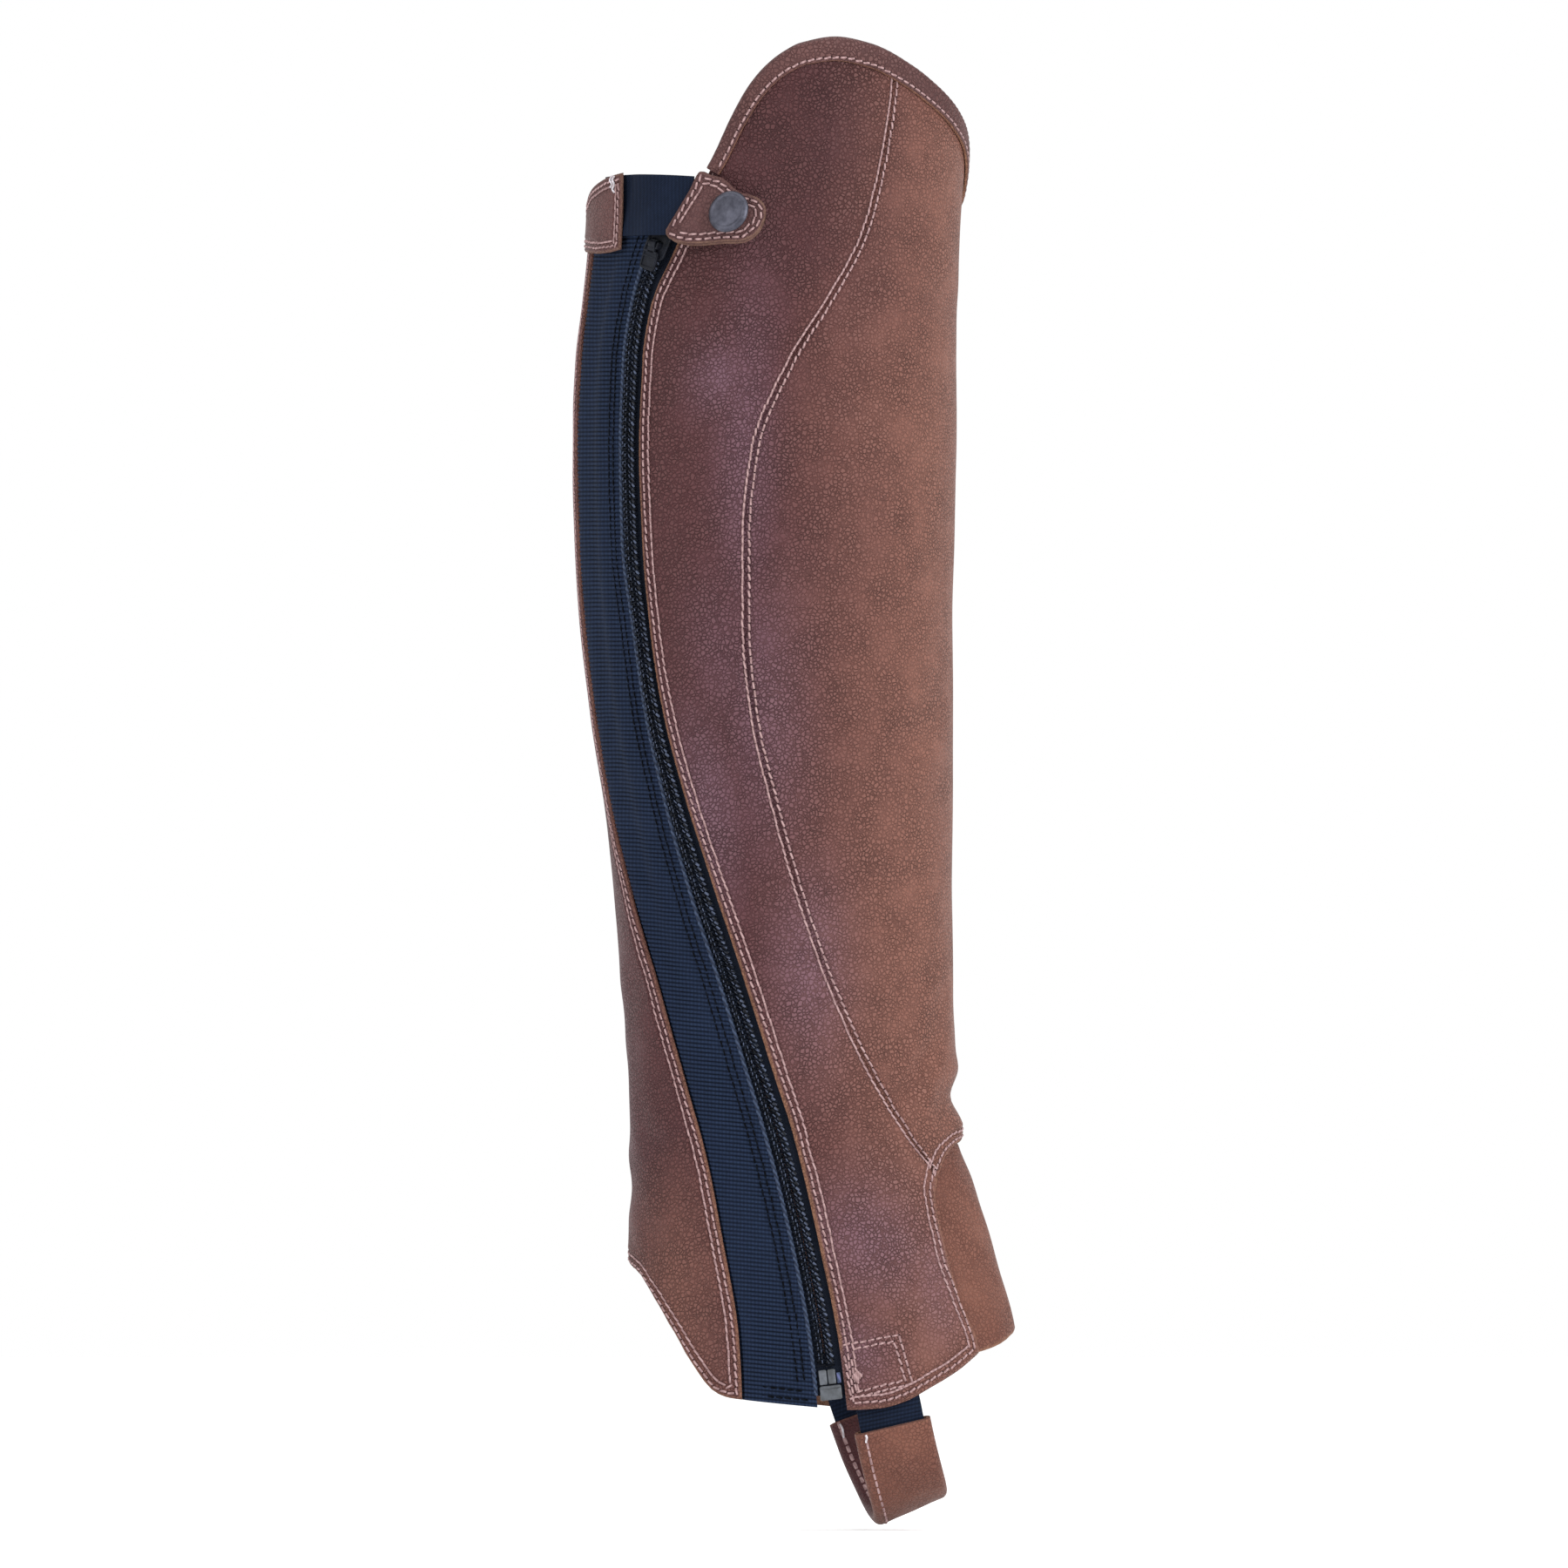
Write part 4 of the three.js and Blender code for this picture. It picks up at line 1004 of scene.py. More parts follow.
def hard_finish(name, dark, light, metallic, roughness, gloss=0.3):
    """Painted or bare metal, and moulded plastic, with rubbed places."""
    made = Finish(name, Metallic=metallic, Specular_IOR_Level=gloss)
    rubbed = made.noise(260.0, 4.0, 0.65)
    scratch = made.noise(1800.0, 2.0, 0.5)
    made.feed("Base Color", made.blend(rubbed.between(0.4, 0.75), dark, light))
    made.feed("Roughness", (roughness + 0.22 * rubbed + 0.08 * scratch).between(0, 1))
    made.bump(scratch + rubbed, 0.00008, 0.35)
    return made.material


def dress(name, finish):
    """Gives a frame node that stays a better finish."""
    piece = bpy.data.objects[name]
    for place in piece.material_slots:
        place.material = finish


# ---------------------------------------------------------------- stitching, tubes and blocks


def stitch_line(shape, path, pitch, length, width, height, lift, shift=0.0, slant=0.0):
    """Adds a row of stitches on a path. lift gives their middle's height over the face."""
    points = face(path[:, 0], path[:, 1])
    run = np.concatenate([[0], np.cumsum(np.linalg.norm(np.diff(points, axis=0), axis=1))])
    count = int((run[-1] - shift - length / 2) / pitch)
    at = shift + length / 2 + pitch * np.arange(max(count, 1))
    wander = 0.06 * np.sin(at * 1.7) + 0.05 * np.sin(at * 0.61 + 1.0)
    angle = np.interp(at, run, path[:, 0])
    height_at = np.interp(at, run, path[:, 1])
    middle = lifted(angle, height_at, lift(angle, height_at))
    ahead = at + 0.6
    angle_ahead = np.interp(ahead, run, path[:, 0])
    height_ahead = np.interp(ahead, run, path[:, 1])
    forward = lifted(angle_ahead, height_ahead, lift(angle_ahead, height_ahead)) - middle
    out = Lie(angle, height_at).out
    forward, _ = unit(forward - out * np.sum(forward * out, -1, keepdims=True))
    side = np.cross(out, forward)
    turn = slant + 0.10 * np.sin(at * 2.3)
    forward, side = forward + side * turn[:, None], side - forward * turn[:, None]
    middle = middle + side * wander[:, None]
    bars(shape, middle, forward, side, out, length, width, height)
    return middle, forward, out


def bars(shape, middle, forward, side, out, length, width, height):
    """Adds plump rounded bars whose ends dip, one at each middle."""
    profile = [(-0.5, 0.55, 0.3, -0.5), (-0.43, 0.9, 0.8, -0.1), (-0.15, 1, 1, 0.08)]
    rings = profile + [(-t, w, h, dip) for t, w, h, dip in reversed(profile)]
    sides = 6
    turn = np.arange(sides) * math.tau / sides
    chunks = []
    for t, w, h, dip in rings:
        across = np.cos(turn) * width / 2 * w
        up = np.sin(turn) * height / 2 * h + dip * height
        ring = middle[:, None] + forward[:, None] * (t * length)
        ring = ring + side[:, None] * across[None, :, None] + out[:, None] * up[None, :, None]
        chunks.append(ring)
    points = np.concatenate(chunks, axis=1)
    each = points.shape[1]
    base = (np.arange(len(middle)) * each)[:, None, None]
    ids = np.arange(each).reshape(len(rings), sides)
    quads = (strip_faces(ids, closed=True)[None] + base).reshape(-1, 4)
    low = (ids[0][None, None] + base).reshape(-1, sides)
    high = (ids[-1][::-1][None, None] + base).reshape(-1, sides)
    shape.add(points.reshape(-1, 3), [quads, low, high])


def needle_hole_shades(shape, middle, forward, out, pitch):
    """Adds a small dark disc, painted shade, where the needle went in, between one stitch and the next.
    """
    turn = np.arange(7) * math.tau / 7
    side = np.cross(out, forward)
    centre = middle + forward * (pitch / 2) + out * 0.12
    along = forward[:, None] * np.cos(turn)[None, :, None]
    across = side[:, None] * np.sin(turn)[None, :, None]
    ring = centre[:, None] + 0.2 * (along + across * 1.3)
    ids = np.arange(len(middle) * 7).reshape(-1, 7)
    shape.add(ring.reshape(-1, 3), [ids])


def tube(shape, points, reference, radius, sides=6, ply=0.0, twist=1.0):
    """Adds a round cord on points. ply makes it a twisted one whose strands turn once each twist mm."""
    run, _ = unit(np.gradient(points, axis=0))
    first, _ = unit(reference - run * np.sum(reference * run, -1, keepdims=True))
    second = np.cross(run, first)
    length = np.concatenate([[0], np.cumsum(np.linalg.norm(np.diff(points, axis=0), axis=1))])
    turn = np.arange(sides) * math.tau / sides
    swell = 1 - ply + 2 * ply * np.abs(np.cos(turn[None] - math.pi * length[:, None] / twist))
    reach = radius * swell
    rings = points[:, None] + first[:, None] * (np.cos(turn) * reach)[..., None]
    rings = rings + second[:, None] * (np.sin(turn) * reach)[..., None]
    ids = np.arange(len(points) * sides).reshape(-1, sides)
    shape.add(rings, [strip_faces(ids, closed=True), ids[:1], ids[-1:, ::-1]])


def rounded_outline(width, length, radius, corner_steps=5):
    """A rounded rectangle about the origin, as X and Y."""
    turn = np.linspace(0, math.pi / 2, corner_steps)
    points = []
    for k, (x, y) in enumerate([(1, 1), (-1, 1), (-1, -1), (1, -1)]):
        centre = np.array([x * (width / 2 - radius), y * (length / 2 - radius)])
        arc = np.stack([np.cos(turn + k * math.pi / 2), np.sin(turn + k * math.pi / 2)], -1)
        points.append(centre + radius * arc)
    return np.concatenate(points)


def slab(shape, matrix, outline, low, high, bevel):
    """Adds a plate with this outline between two heights, its edges rounded over."""
    middle = outline.mean(axis=0)
    reach = np.linalg.norm(outline - middle, axis=1, keepdims=True)
    rings = []
    for inset_by, height in [
        (bevel, low),
        (bevel * 0.3, low + bevel * 0.3),
        (0, low + bevel),
        (0, high - bevel),
        (bevel * 0.3, high - bevel * 0.3),
        (bevel, high),
    ]:
        ring = middle + (outline - middle) * (1 - inset_by / reach)
        rings.append(np.column_stack([ring, np.full(len(ring), height)]))
    put(shape, matrix, rings)


def put(shape, matrix, rings):
    """Adds a closed solid through rings of local points, placed by a matrix."""
    rings = np.array(rings)
    rotation, place = matrix
    points = rings @ rotation.T + place
    ids = np.arange(rings.shape[0] * rings.shape[1]).reshape(rings.shape[:2])
    shape.add(points, [strip_faces(ids, closed=True)[:, ::-1], ids[:1, ::-1], ids[-1:]])


def on_face(angle, height, along):
    """Local X across, Y along and Z out, and the face's point: as a rotation and a place."""
    lie = Lie(angle, height)
    out = lie.out
    direction, _ = unit(along - out * np.dot(along, out))
    across = np.cross(direction, out)
    return np.stack([across, direction, out], -1), face(angle, height)


def turned_part(shape, matrix, profile):
    """Adds a turned solid from its profile, radius and height in rising order from the axis."""
    turn = np.arange(64) * math.tau / 64
    circle = np.stack([np.cos(turn), np.sin(turn)], -1)
    put(shape, matrix, [np.column_stack([circle * r, np.full(64, z)]) for r, z in profile])


def turn_about(axis, degrees):
    return np.array(Matrix.Rotation(math.radians(degrees), 3, Vector(axis)))


# ---------------------------------------------------------------- places of the smaller parts

# The snap tab, seen from the outer side: the heights of its lower and upper edge by X.
TAB = Table(
    ["x", "bottom", "top"],
    [
        [-33.4, 82.3, 83.8],
        [-32.2, 80.8, 85.8],
        [-29.2, 79.7, 90.8],
        [-25.5, 79.1, 97.0],
        [-21.5, 79.1, 103.6],
        [-18.3, 79.4, 102.4],
        [-15.0, 79.7, 101.6],
        [-12.4, 79.9, 100.0],
        [-10.0, 79.9, 97.6],
        [-7.5, 80.1, 96.4],
        [-4.5, 81.2, 95.6],
        [-2.0, 83.2, 94.6],
        [0.0, 86.4, 92.6],
        [0.7, 88.6, 91.2],
    ],
)
# The corner patch: the heights of its edges, and how far its back lies off the face, by angle.
PATCH = Table(
    ["angle", "bottom", "top", "lift"],
    [
        [-14, 77.6, 93.2, 0.3],
        [-6, 77.0, 93.6, 0.3],
        [2, 76.8, 94.8, 0.3],
        [11, 76.5, 98.0, 0.3],
        [20, 76.1, 100.4, 0.3],
        [28, 76.4, 102.2, 0.4],
        [36, 77.4, 103.4, 1.1],
    ],
)
# The strap's middle line, from its outer end to its inner one: X, Y, Z, and how far its width tilts
# up and turns sideways there, in degrees.
STRAP_ROUTE = np.array(
    [
        [37.4, -34.4, -294.5, 14, 9],
        [39.4, -34.4, -303, 14, 9],
        [41.8, -34.0, -312, 14, 8],
        [43.4, -32.8, -320, 14.5, 6],
        [45.2, -29.6, -328.5, 16, 4],
        [47.2, -24.2, -336.5, 18.5, 2],
        [49.0, -15.6, -343.4, 21.5, 0],
        [49.6, -5.5, -346.8, 23.5, 0],
        [48.6, 5.5, -346.8, 24, 0],
        [46.2, 15.8, -343.4, 24, 0],
        [42.8, 24.6, -336.5, 23, -1],
        [39.2, 30.6, -328.5, 22, -2],
        [36.0, 34.2, -320, 20, -4],
        [33.2, 36.0, -312, 18, -5],
        [30.4, 36.6, -303, 16, -5],
        [28.2, 36.6, -294.5, 15, -5],
    ]
)
STRAP_WIDTH, STRAP_THICK = 22.0, 1.5
SLEEVE_WIDTH, SLEEVE_THICK, SLEEVE_WALL = 26.5, 4.9, 1.2
SLEEVE_SPAN = (0.2, 0.83)
BAND_IN_TAB = THIN + GAP
PATCH_ROWS, TAB_ROWS = (1.9, 3.6), (1.5, 3.2)  # from the edge to the stitched lines
CAP_PLACE = {"x": -10.3, "height": 89.7, "tilt": 27.0, "seat": 2.2, "radius": 7.4}


def from_zip(angle, height):
    """Millimetres round the leg from the zip's middle, negative on the elastic's side."""
    return (angle - zip_angle(height)) * Lie(angle, height).per_degree


def gore_lift(across):
    """Lift of the elastic's outer surface: under the panels at the back, over the tape at the zip."""
    return mix(UNDER_PANEL, UNDER_PANEL + GAP + ELASTIC, ramp(across, -TAPE_HALF - 10, -TAPE_HALF - 2))


def tab_lift(x, height):
    """Lift of the snap tab's back, which stands further off the panel lower down and to the front."""
    rise = 0.22 * (99 - height) + 0.1 * (x + 22)
    return 1.7 + np.log1p(np.exp(2 * rise)) / 2


def face_above_back(x):
    """How far the tab's face layer lies off its back layer, more where the band is between them."""
    return BAND_IN_TAB + (ELASTIC + GAP) * (1 - ramp(x, -21.9, -17.5))


def tab_place(x, height):
    """The angle where the tab's face, seen from the outer side, has a given X."""

    def before(angle):
        here = face(angle, height)[..., 0]
        lift = tab_lift(here, height) + face_above_back(here) + THIN
        return x - lifted(angle, height, lift, 0.0)[..., 0]

    return crossing(np.full(np.shape(x), 30.0), 120, before)


def strap_frames(share):
    """Points on the strap's curve, with its run, width and thickness directions."""
    points = STRAP_ROUTE[:, :3]
    last = len(points) - 1
    padded = np.vstack([2 * points[0] - points[1], points, 2 * points[-1] - points[-2]])

    def curve(at):
        station = np.clip(at, 0, 1) * last
        k = np.minimum(last - 1, np.floor(station).astype(int))
        t = (station - k)[:, None]
        p0, p1, p2, p3 = (padded[k + i] for i in range(4))
        d0, d1, d2 = (
            np.sqrt(np.linalg.norm(b - a, axis=1))[:, None] for a, b in ((p0, p1), (p1, p2), (p2, p3))
        )
        m1 = ((p1 - p0) / d0 - (p2 - p0) / (d0 + d1) + (p2 - p1) / d1) * d1
        m2 = ((p2 - p1) / d1 - (p3 - p1) / (d1 + d2) + (p3 - p2) / d2) * d1
        return (
            p1 * (1 + 2 * t) * (1 - t) ** 2
            + p2 * (3 - 2 * t) * t**2
            + m1 * t * (1 - t) ** 2
            - m2 * t**2 * (1 - t)
        )

    share = np.asarray(share, float)
    run, _ = unit(curve(share + 0.0005) - curve(share - 0.0005))
    station = share * last
    tilt = np.radians(np.interp(station, range(last + 1), STRAP_ROUTE[:, 3]))
    yaw = np.radians(np.interp(station, range(last + 1), STRAP_ROUTE[:, 4]))
    wide = np.stack([np.cos(yaw), np.sin(yaw), np.tan(tilt)], -1)
    wide, _ = unit(wide - run * np.sum(wide * run, -1, keepdims=True))
    return curve(share), run, wide, np.cross(run, wide)


def zip_run(height):
    """The direction up the zip at a height."""
    above = face(zip_angle(height + 2), height + 2)
    return unit(above - face(zip_angle(height - 2), height - 2))[0]


def slider_place():
    return on_face(zip_angle(SLIDER_HEIGHT), SLIDER_HEIGHT, zip_run(SLIDER_HEIGHT))


# ---------------------------------------------------------------- panels

# What each sheet was cut to, before it was sewn: width, length and area, in metres.
CUTS = {
    "outer_leather": (0.093, 0.462, 0.0196),
    "inner_leather": (0.310, 0.459, 0.1010),
    "instep_leather": (0.091, 0.080, 0.00545),
    "edge_binding": (0.019, 0.324, None),
    "elastic_panel": (0.065, 0.420, 0.0140),
    "tape_back": (0.014, 0.408, None),
    "tape_front": (0.014, 0.408, None),
    "band_elastic": (0.021, 0.045, None),
    "patch_leather": (0.053, 0.027, 0.00111),
    "tab_back_leather": (0.035, 0.026, 0.00063),
    "tab_face_leather": (0.035, 0.025, 0.00062),
    "foot_elastic": (0.022, 0.149, None),
    "foot_sleeve": (0.055, 0.096, None),
}


def stand_in(piece, slot, *nodes, held=None, rests_on=()):
    """Hides the frame nodes that a piece stands in for. held names how a sheet lies, and only the
    sheet's cut is looked up with it.
    """
    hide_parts(*nodes)
    if held:
        width, length, area = CUTS[piece.name]
        list(rests_on)


def settings_of(context):
    return context.scene.half_chap


def shared(name, make, *looks, **options):
    """The finish of this name, made when it is first asked for."""
    return bpy.data.materials.get(name) or make(name, *looks, **options)


def leather(context, part):
    """The leather of a panel, the gusset, the patch, the tab or another small piece."""
    s = settings_of(context)
    core = (s.small_raw_colour, s.small_raw_light_colour)
    looks = {
        "panel": (s.leather_colour, s.shin_colour, s.grain, True),
        "gusset": (s.gusset_colour, s.gusset_light_colour, 0.7, False),
        "small": (s.small_colour, s.small_light_colour, 0.8, False),
        "patch": (s.patch_colour, s.patch_light_colour, 0.6, False, core),
        "tab": (s.tab_colour, s.tab_light_colour, 0.5, False, core),
    }
    return shared(f"{part} leather", leather_finish, s, *looks[part])


def elastic(context):
    return shared("ribbed elastic", elastic_finish, settings_of(context))


def thread(context):
    s = settings_of(context)
    return shared("sewing thread", thread_finish, s.thread_colour, s.thread_light_colour)


def panel_wall(grids, raw_edge, rows, bare, raw_width):
    """A panel's wall, pulled down along its stitched lines and along the shin seam."""
    near_raw, near_rows = Nearby([evenly(raw_edge, 0.4)]), Nearby(rows)
    near_seam = Nearby([evenly(seam_path(), 0.4)])

    def lift(angle, height):
        away = near_seam.distance(angle, height)
        return -0.85 * np.exp(-((away / 0.75) ** 2)) + 0.12 * np.exp(-(((away - 2.3) / 1.4) ** 2))

    return wall(grids, lift, LEATHER, near_raw.distance, near_rows.distance, 1.0, raw_width, bare=bare)


def build_outer_panel(context):
    rows = stitch_rows()
    lines = rows["outer"] + rows["seam"] + rows["hem_box"]

    def bare(angle, height):
        return 1 - 0.75 * ramp(-height, 291, 297) - 0.5 * ramp(face(angle, height)[..., 0], 50, 60)

    shape = panel_wall(outer_panel_grids(), outer_panel_edge(), lines, bare, 1.5)
    piece = shape.object("outer_leather", leather(context, "panel"))
    nodes = [f"outer_panel_{part}" for part in ("skirt", "ankle", "calf", "knee")]
    stand_in(piece, "leather", *nodes, held="stretched", rests_on=["inner_leather"])


def build_inner_panel(context):
    rows = stitch_rows()
    lines = rows["inner"] + rows["seam"]

    def bare(angle, height):
        return 0.34 + 0.3 * ramp(-height, 150, 230)

    shape = panel_wall(inner_panel_grids(), inner_panel_edge(), lines, bare, 0.9)
    piece = shape.object("inner_leather", leather(context, "panel"))
    stand_in(piece, "leather", "inner_panel", held="stretched")


def build_gusset(context):
    """The softer piece over the instep, behind the edges of the opening."""
    across = np.linspace(-1, 1, 90)[:, None]
    up = np.linspace(0, 1, 70)[None, :]
    height = mix(HEM_CORNER, ARCH_TOP + 8, up) + 0 * across
    tuck = 8 / Lie(np.full_like(height, 180), height).per_degree
    angle = 180 + across * (instep_angle(height) + tuck)
    rise = 7.5 * (1 - ramp(np.abs(across), 0, 0.9)) * (1 - up) ** 3
    grid = np.stack([angle, height + rise], -1)

    def lift(at_angle, at_height):
        inside = instep_angle(at_height) - np.abs(at_angle - 180)
        return UNDER_PANEL - 0.1 + 0.7 * ramp(inside, 3, 16)

    hem = Nearby([evenly(grid[:, 0], 0.4)])
    piece = wall([grid], lift, 1.4, hem.distance).object("instep_leather", leather(context, "gusset"))
    panels = ["outer_leather", "inner_leather"]
    stand_in(piece, "gusset_leather", "instep_gusset", held="stretched", rests_on=panels)


BINDING_OVER = 1.6  # how far the binding's fold stands over the top edge


def binding_station(angle, up):
    """Places some millimetres up from the top edge, square to it, at some angles along it."""
    height = top_height(angle)
    before = face(angle - 0.3, top_height(angle - 0.3))
    after = face(angle + 0.3, top_height(angle + 0.3))
    run, _ = unit(after - before)
    lie = Lie(angle, height)
    away, _ = unit(np.cross(lie.out, run))
    return moved(angle, height, up * np.sum(away * lie.round, -1), up * np.sum(away * lie.up, -1))


def build_binding(context):
    """The strip folded over the top edge: its outer leaf, its fold and its inner leaf."""
    angle = np.linspace(69.0, 345.2, 720)
    depth = BINDING_OVER - BINDING_WIDTH.read("width", angle)
    outside, inside = GAP + THIN, UNDER_PANEL - THIN
    half = (outside - inside) / 2
    turn = np.linspace(0, math.pi, 13)
    pressed = depth + 1.2
    profile = [
        (depth, outside - 0.55),
        (depth + 0.25, outside - 0.12),
        (depth + 0.9, outside),
        (pressed - 0.5, outside - 0.12),
        (pressed, outside - 0.35),
        (pressed + 0.5, outside - 0.12),
        (pressed + 1.2, outside + 0.02),
        (depth * 0.4 - 0.3, outside + 0.05),
    ]
    round_off = 1.5
    for t in turn:
        up = BINDING_OVER - round_off + round_off * math.sin(t)
        profile.append((up, outside - half + half * math.cos(t)))
    profile += [(depth, inside), (depth, UNDER_PANEL), (1.0, UNDER_PANEL), (1.0, GAP), (depth, GAP)]
    rings, raw, flesh = [], [], []
    for k, (up, out) in enumerate(profile):
        ripple = 0.09 * np.sin(angle * 2.9 + k * 0.1) if 2 < k < 20 else 0
        rings.append(lifted(*binding_station(angle, up), out + ripple))
        raw.append(np.full(len(angle), 1.0 if k in (0, len(profile) - 1) else 0.0))
        flesh.append(np.full(len(angle), 1.0 if k >= len(profile) - 4 else 0.0))
    points = np.stack(rings, 1)
    ids = np.arange(points.shape[0] * points.shape[1]).reshape(points.shape[:2])
    faces = [strip_faces(ids, closed=True), ids[:1], ids[-1:, ::-1]]
    masks = {"raw": np.stack(raw, 1).ravel(), "flesh": np.stack(flesh, 1).ravel()}
    piece = Shape().add(points, faces, **masks).object("edge_binding", leather(context, "small"))
    panels = ["outer_leather", "inner_leather"]
    stand_in(piece, "leather", "top_binding", held="folded", rests_on=panels)


# ---------------------------------------------------------------- elastic and zip


GORE_TUCK, TUCKED = 9.0, 0.2  # how far the elastic goes under the back, and its share of the columns


def gore_grid(rows, columns):
    """Columns of places on the elastic, close together beside the cut edge of the back."""
    hidden = np.linspace(0, TUCKED, 4)[:-1]
    share = np.concatenate([hidden, TUCKED + (1 - TUCKED) * np.linspace(0, 1, columns) ** 1.7])[:, None]

    def angle_of(height):
        edge = edge_angle("backEdge", height)
        left = moved(edge, height, -GORE_TUCK, 0)[0]
        under = mix(left, edge, share / TUCKED)
        clear = mix(edge, edge_angle("goreEdge", height), (share - TUCKED) / (1 - TUCKED))
        return np.where(share < TUCKED, under, clear)

    lowest = np.full((len(share), 1), FOOT_RANGE[0])
    foot = crossing(lowest, FOOT_RANGE[1], lambda h: lower_height(angle_of(h)) - h)
    height = mix(foot, GORE_TOP, np.linspace(0, 1, rows)[None, :])
    return np.stack([angle_of(height), height], -1)


def on_gore(angle, height):
    return gore_lift(from_zip(angle, height))


def build_gore(context):
    s = settings_of(context)
    pitch = s.rib_pitch / MM
    steps = int((GORE_TOP - GORE_FOOT) / pitch * 4)

    def ribs(angle, height):
        lean = 0.10 * ramp(-height, 60, 180) * from_zip(angle, height)
        return np.abs(np.sin(math.pi * (height + lean) / pitch)) ** 1.2

    def lift(angle, height):
        fray = 0.18 * np.sin(angle * 9.1 + height * 0.3) * (height < -300)
        clear = (angle - edge_angle("backEdge", height)) * Lie(angle, height).per_degree
        swell = 1.4 * ramp(clear, 0.3, 1.1) * (1 - ramp(clear, 2.5, 13))
        return on_gore(angle, height) - 0.4 + 0.4 * ribs(angle, height) + fray + swell

    shape = wall([gore_grid(steps, 20)], lift, ELASTIC - 0.3, creased=SOFT_CREASED, ribs=ribs)
    piece = shape.object("elastic_panel", elastic(context))
    nodes = [f"elastic_gore_{part}" for part in ("ankle", "calf", "knee")]
    stand_in(piece, "elastic", *nodes, held="stretched", rests_on=["inner_leather", "tape_back"])

    height = np.arange(GORE_FOOT + 2, GORE_TOP - 1, 0.36)
    angle = edge_angle("goreEdge", height)
    middle = lifted(angle, height, on_gore(angle, height) - 0.5, SOFT_CREASED)
    cord = Shape()
    tube(cord, middle, Lie(angle, height).out, 0.72, 8, 0.2, 1.9)
    twine = shared("edge cord", thread_finish, s.cord_colour, s.cord_light_colour, 3600.0)
    cord.object("elastic_edge_cord", twine)

    def over(angle, height):
        return on_gore(angle, height) + 0.1

    sewing = Shape()
    for inward in (3.5, 5.9):
        path = along_height("goreEdge", GORE_TOP - 12, GORE_FOOT + 4)
        line = evenly(np.stack(moved(path[:, 0], path[:, 1], -inward, 0), -1), 0.5)
        stitch_line(sewing, line, 2.9, 2.5, 0.55, 0.45, over, inward % 1)
    hem = np.full(200, GORE_FOOT + 1)
    at = mix(edge_angle("backEdge", hem), edge_angle("goreEdge", hem), np.linspace(0.12, 0.97, 200))
    for above in (2.2, 5.2):
        line = evenly(np.stack([at, lower_height(at) + above], -1), 0.5)
        stitch_line(sewing, line, 2.9, 2.3, 0.7, 0.5, over, above % 2)
    dark = shared("dark thread", thread_finish, s.dark_thread_colour, s.tape_colour, gloss=0.05)
    sewing.object("elastic_stitches", dark)


def build_tapes(context):
    finish = shared("zip tape weave", tape_finish, settings_of(context))
    for name, node, side in (("tape_back", "zip_tape_back", -1), ("tape_front", "zip_tape_front", 1)):
        height = np.linspace(*TAPE_ENDS, 400)[None, :] + np.zeros((9, 1))
        share = np.linspace(0, 1, 9)[:, None]
        share = share if side > 0 else 1 - share
        parting = mix(GAP / 2, 2.8, ramp(height, 70, TAPE_ENDS[1]))
        angle = moved(zip_angle(height), height, side * mix(parting, TAPE_HALF, share), 0)[0]
        grid = np.stack([angle, height], -1)
        shape = wall([grid], lambda a, h: UNDER_PANEL + 0 * a, TAPE, creased=SOFT_CREASED)
        stand_in(shape.object(name, finish), "zip_tape", node, held="laid")


# The bars of thread over the coil, coloured bright as painted glints: millimetres from its middle,
# start, width and slant, in radians.
COIL_RUNGS = (
    (-1.0, 0.0, 0.34, -0.15),
    (-2.05, 0.87, 0.36, -0.2),
    (0.9, 0.0, 0.34, 0.5),
    (2.2, 0.6, 0.66, 0.85),
)


def build_coil(context):
    s = settings_of(context)
    finish = shared("zip coil", hard_finish, s.coil_colour, s.coil_light_colour, 0.0, 0.3, 0.10)
    turns = (COIL_ENDS[1] - COIL_ENDS[0]) / COIL_PITCH
    for name, node, side in (("coil_back", "zip_coil_back", -1), ("coil_front", "zip_coil_front", 1)):
        theta = np.arange(0, turns * math.tau, math.tau / 14)
        phase = theta + (math.pi if side > 0 else 0)
        height = COIL_ENDS[0] + theta / math.tau * COIL_PITCH
        across = side * (1.62 + 1.42 * np.cos(phase))
        lift = UNDER_PANEL + GAP + 1.02 + 0.62 * np.sin(phase)
        angle = moved(zip_angle(height), height, across, 0)[0]
        points = lifted(angle, height, lift, SOFT_CREASED)
        head = ramp(-np.cos(phase), 0.55, 1.0)
        shape = Shape()
        tube(shape, points, Lie(angle, height).up, (0.25 + 0.15 * head)[:, None], 6)
        stand_in(shape.object(name, finish), "zip_coil", node)

    def over(angle, height):
        return UNDER_PANEL + GAP + 1.62 + 0 * angle

    loops = Shape()
    height = np.linspace(COIL_ENDS[0] + 1, COIL_ENDS[1] - 1, 500)
    for away, shift, broad, slant in COIL_RUNGS:
        angle = moved(zip_angle(height), height, away, 0)[0]
        line = evenly(np.stack([angle, height], -1), 0.5)
        stitch_line(loops, line, COIL_PITCH, 1.3, broad, 0.4, over, shift, slant)
    # Painted glints: the bars of thread over the coil take the bright glint colour.
    glint = shared("coil thread", thread_finish, s.coil_colour, s.glint_colour)
    loops.object("coil_thread", glint)


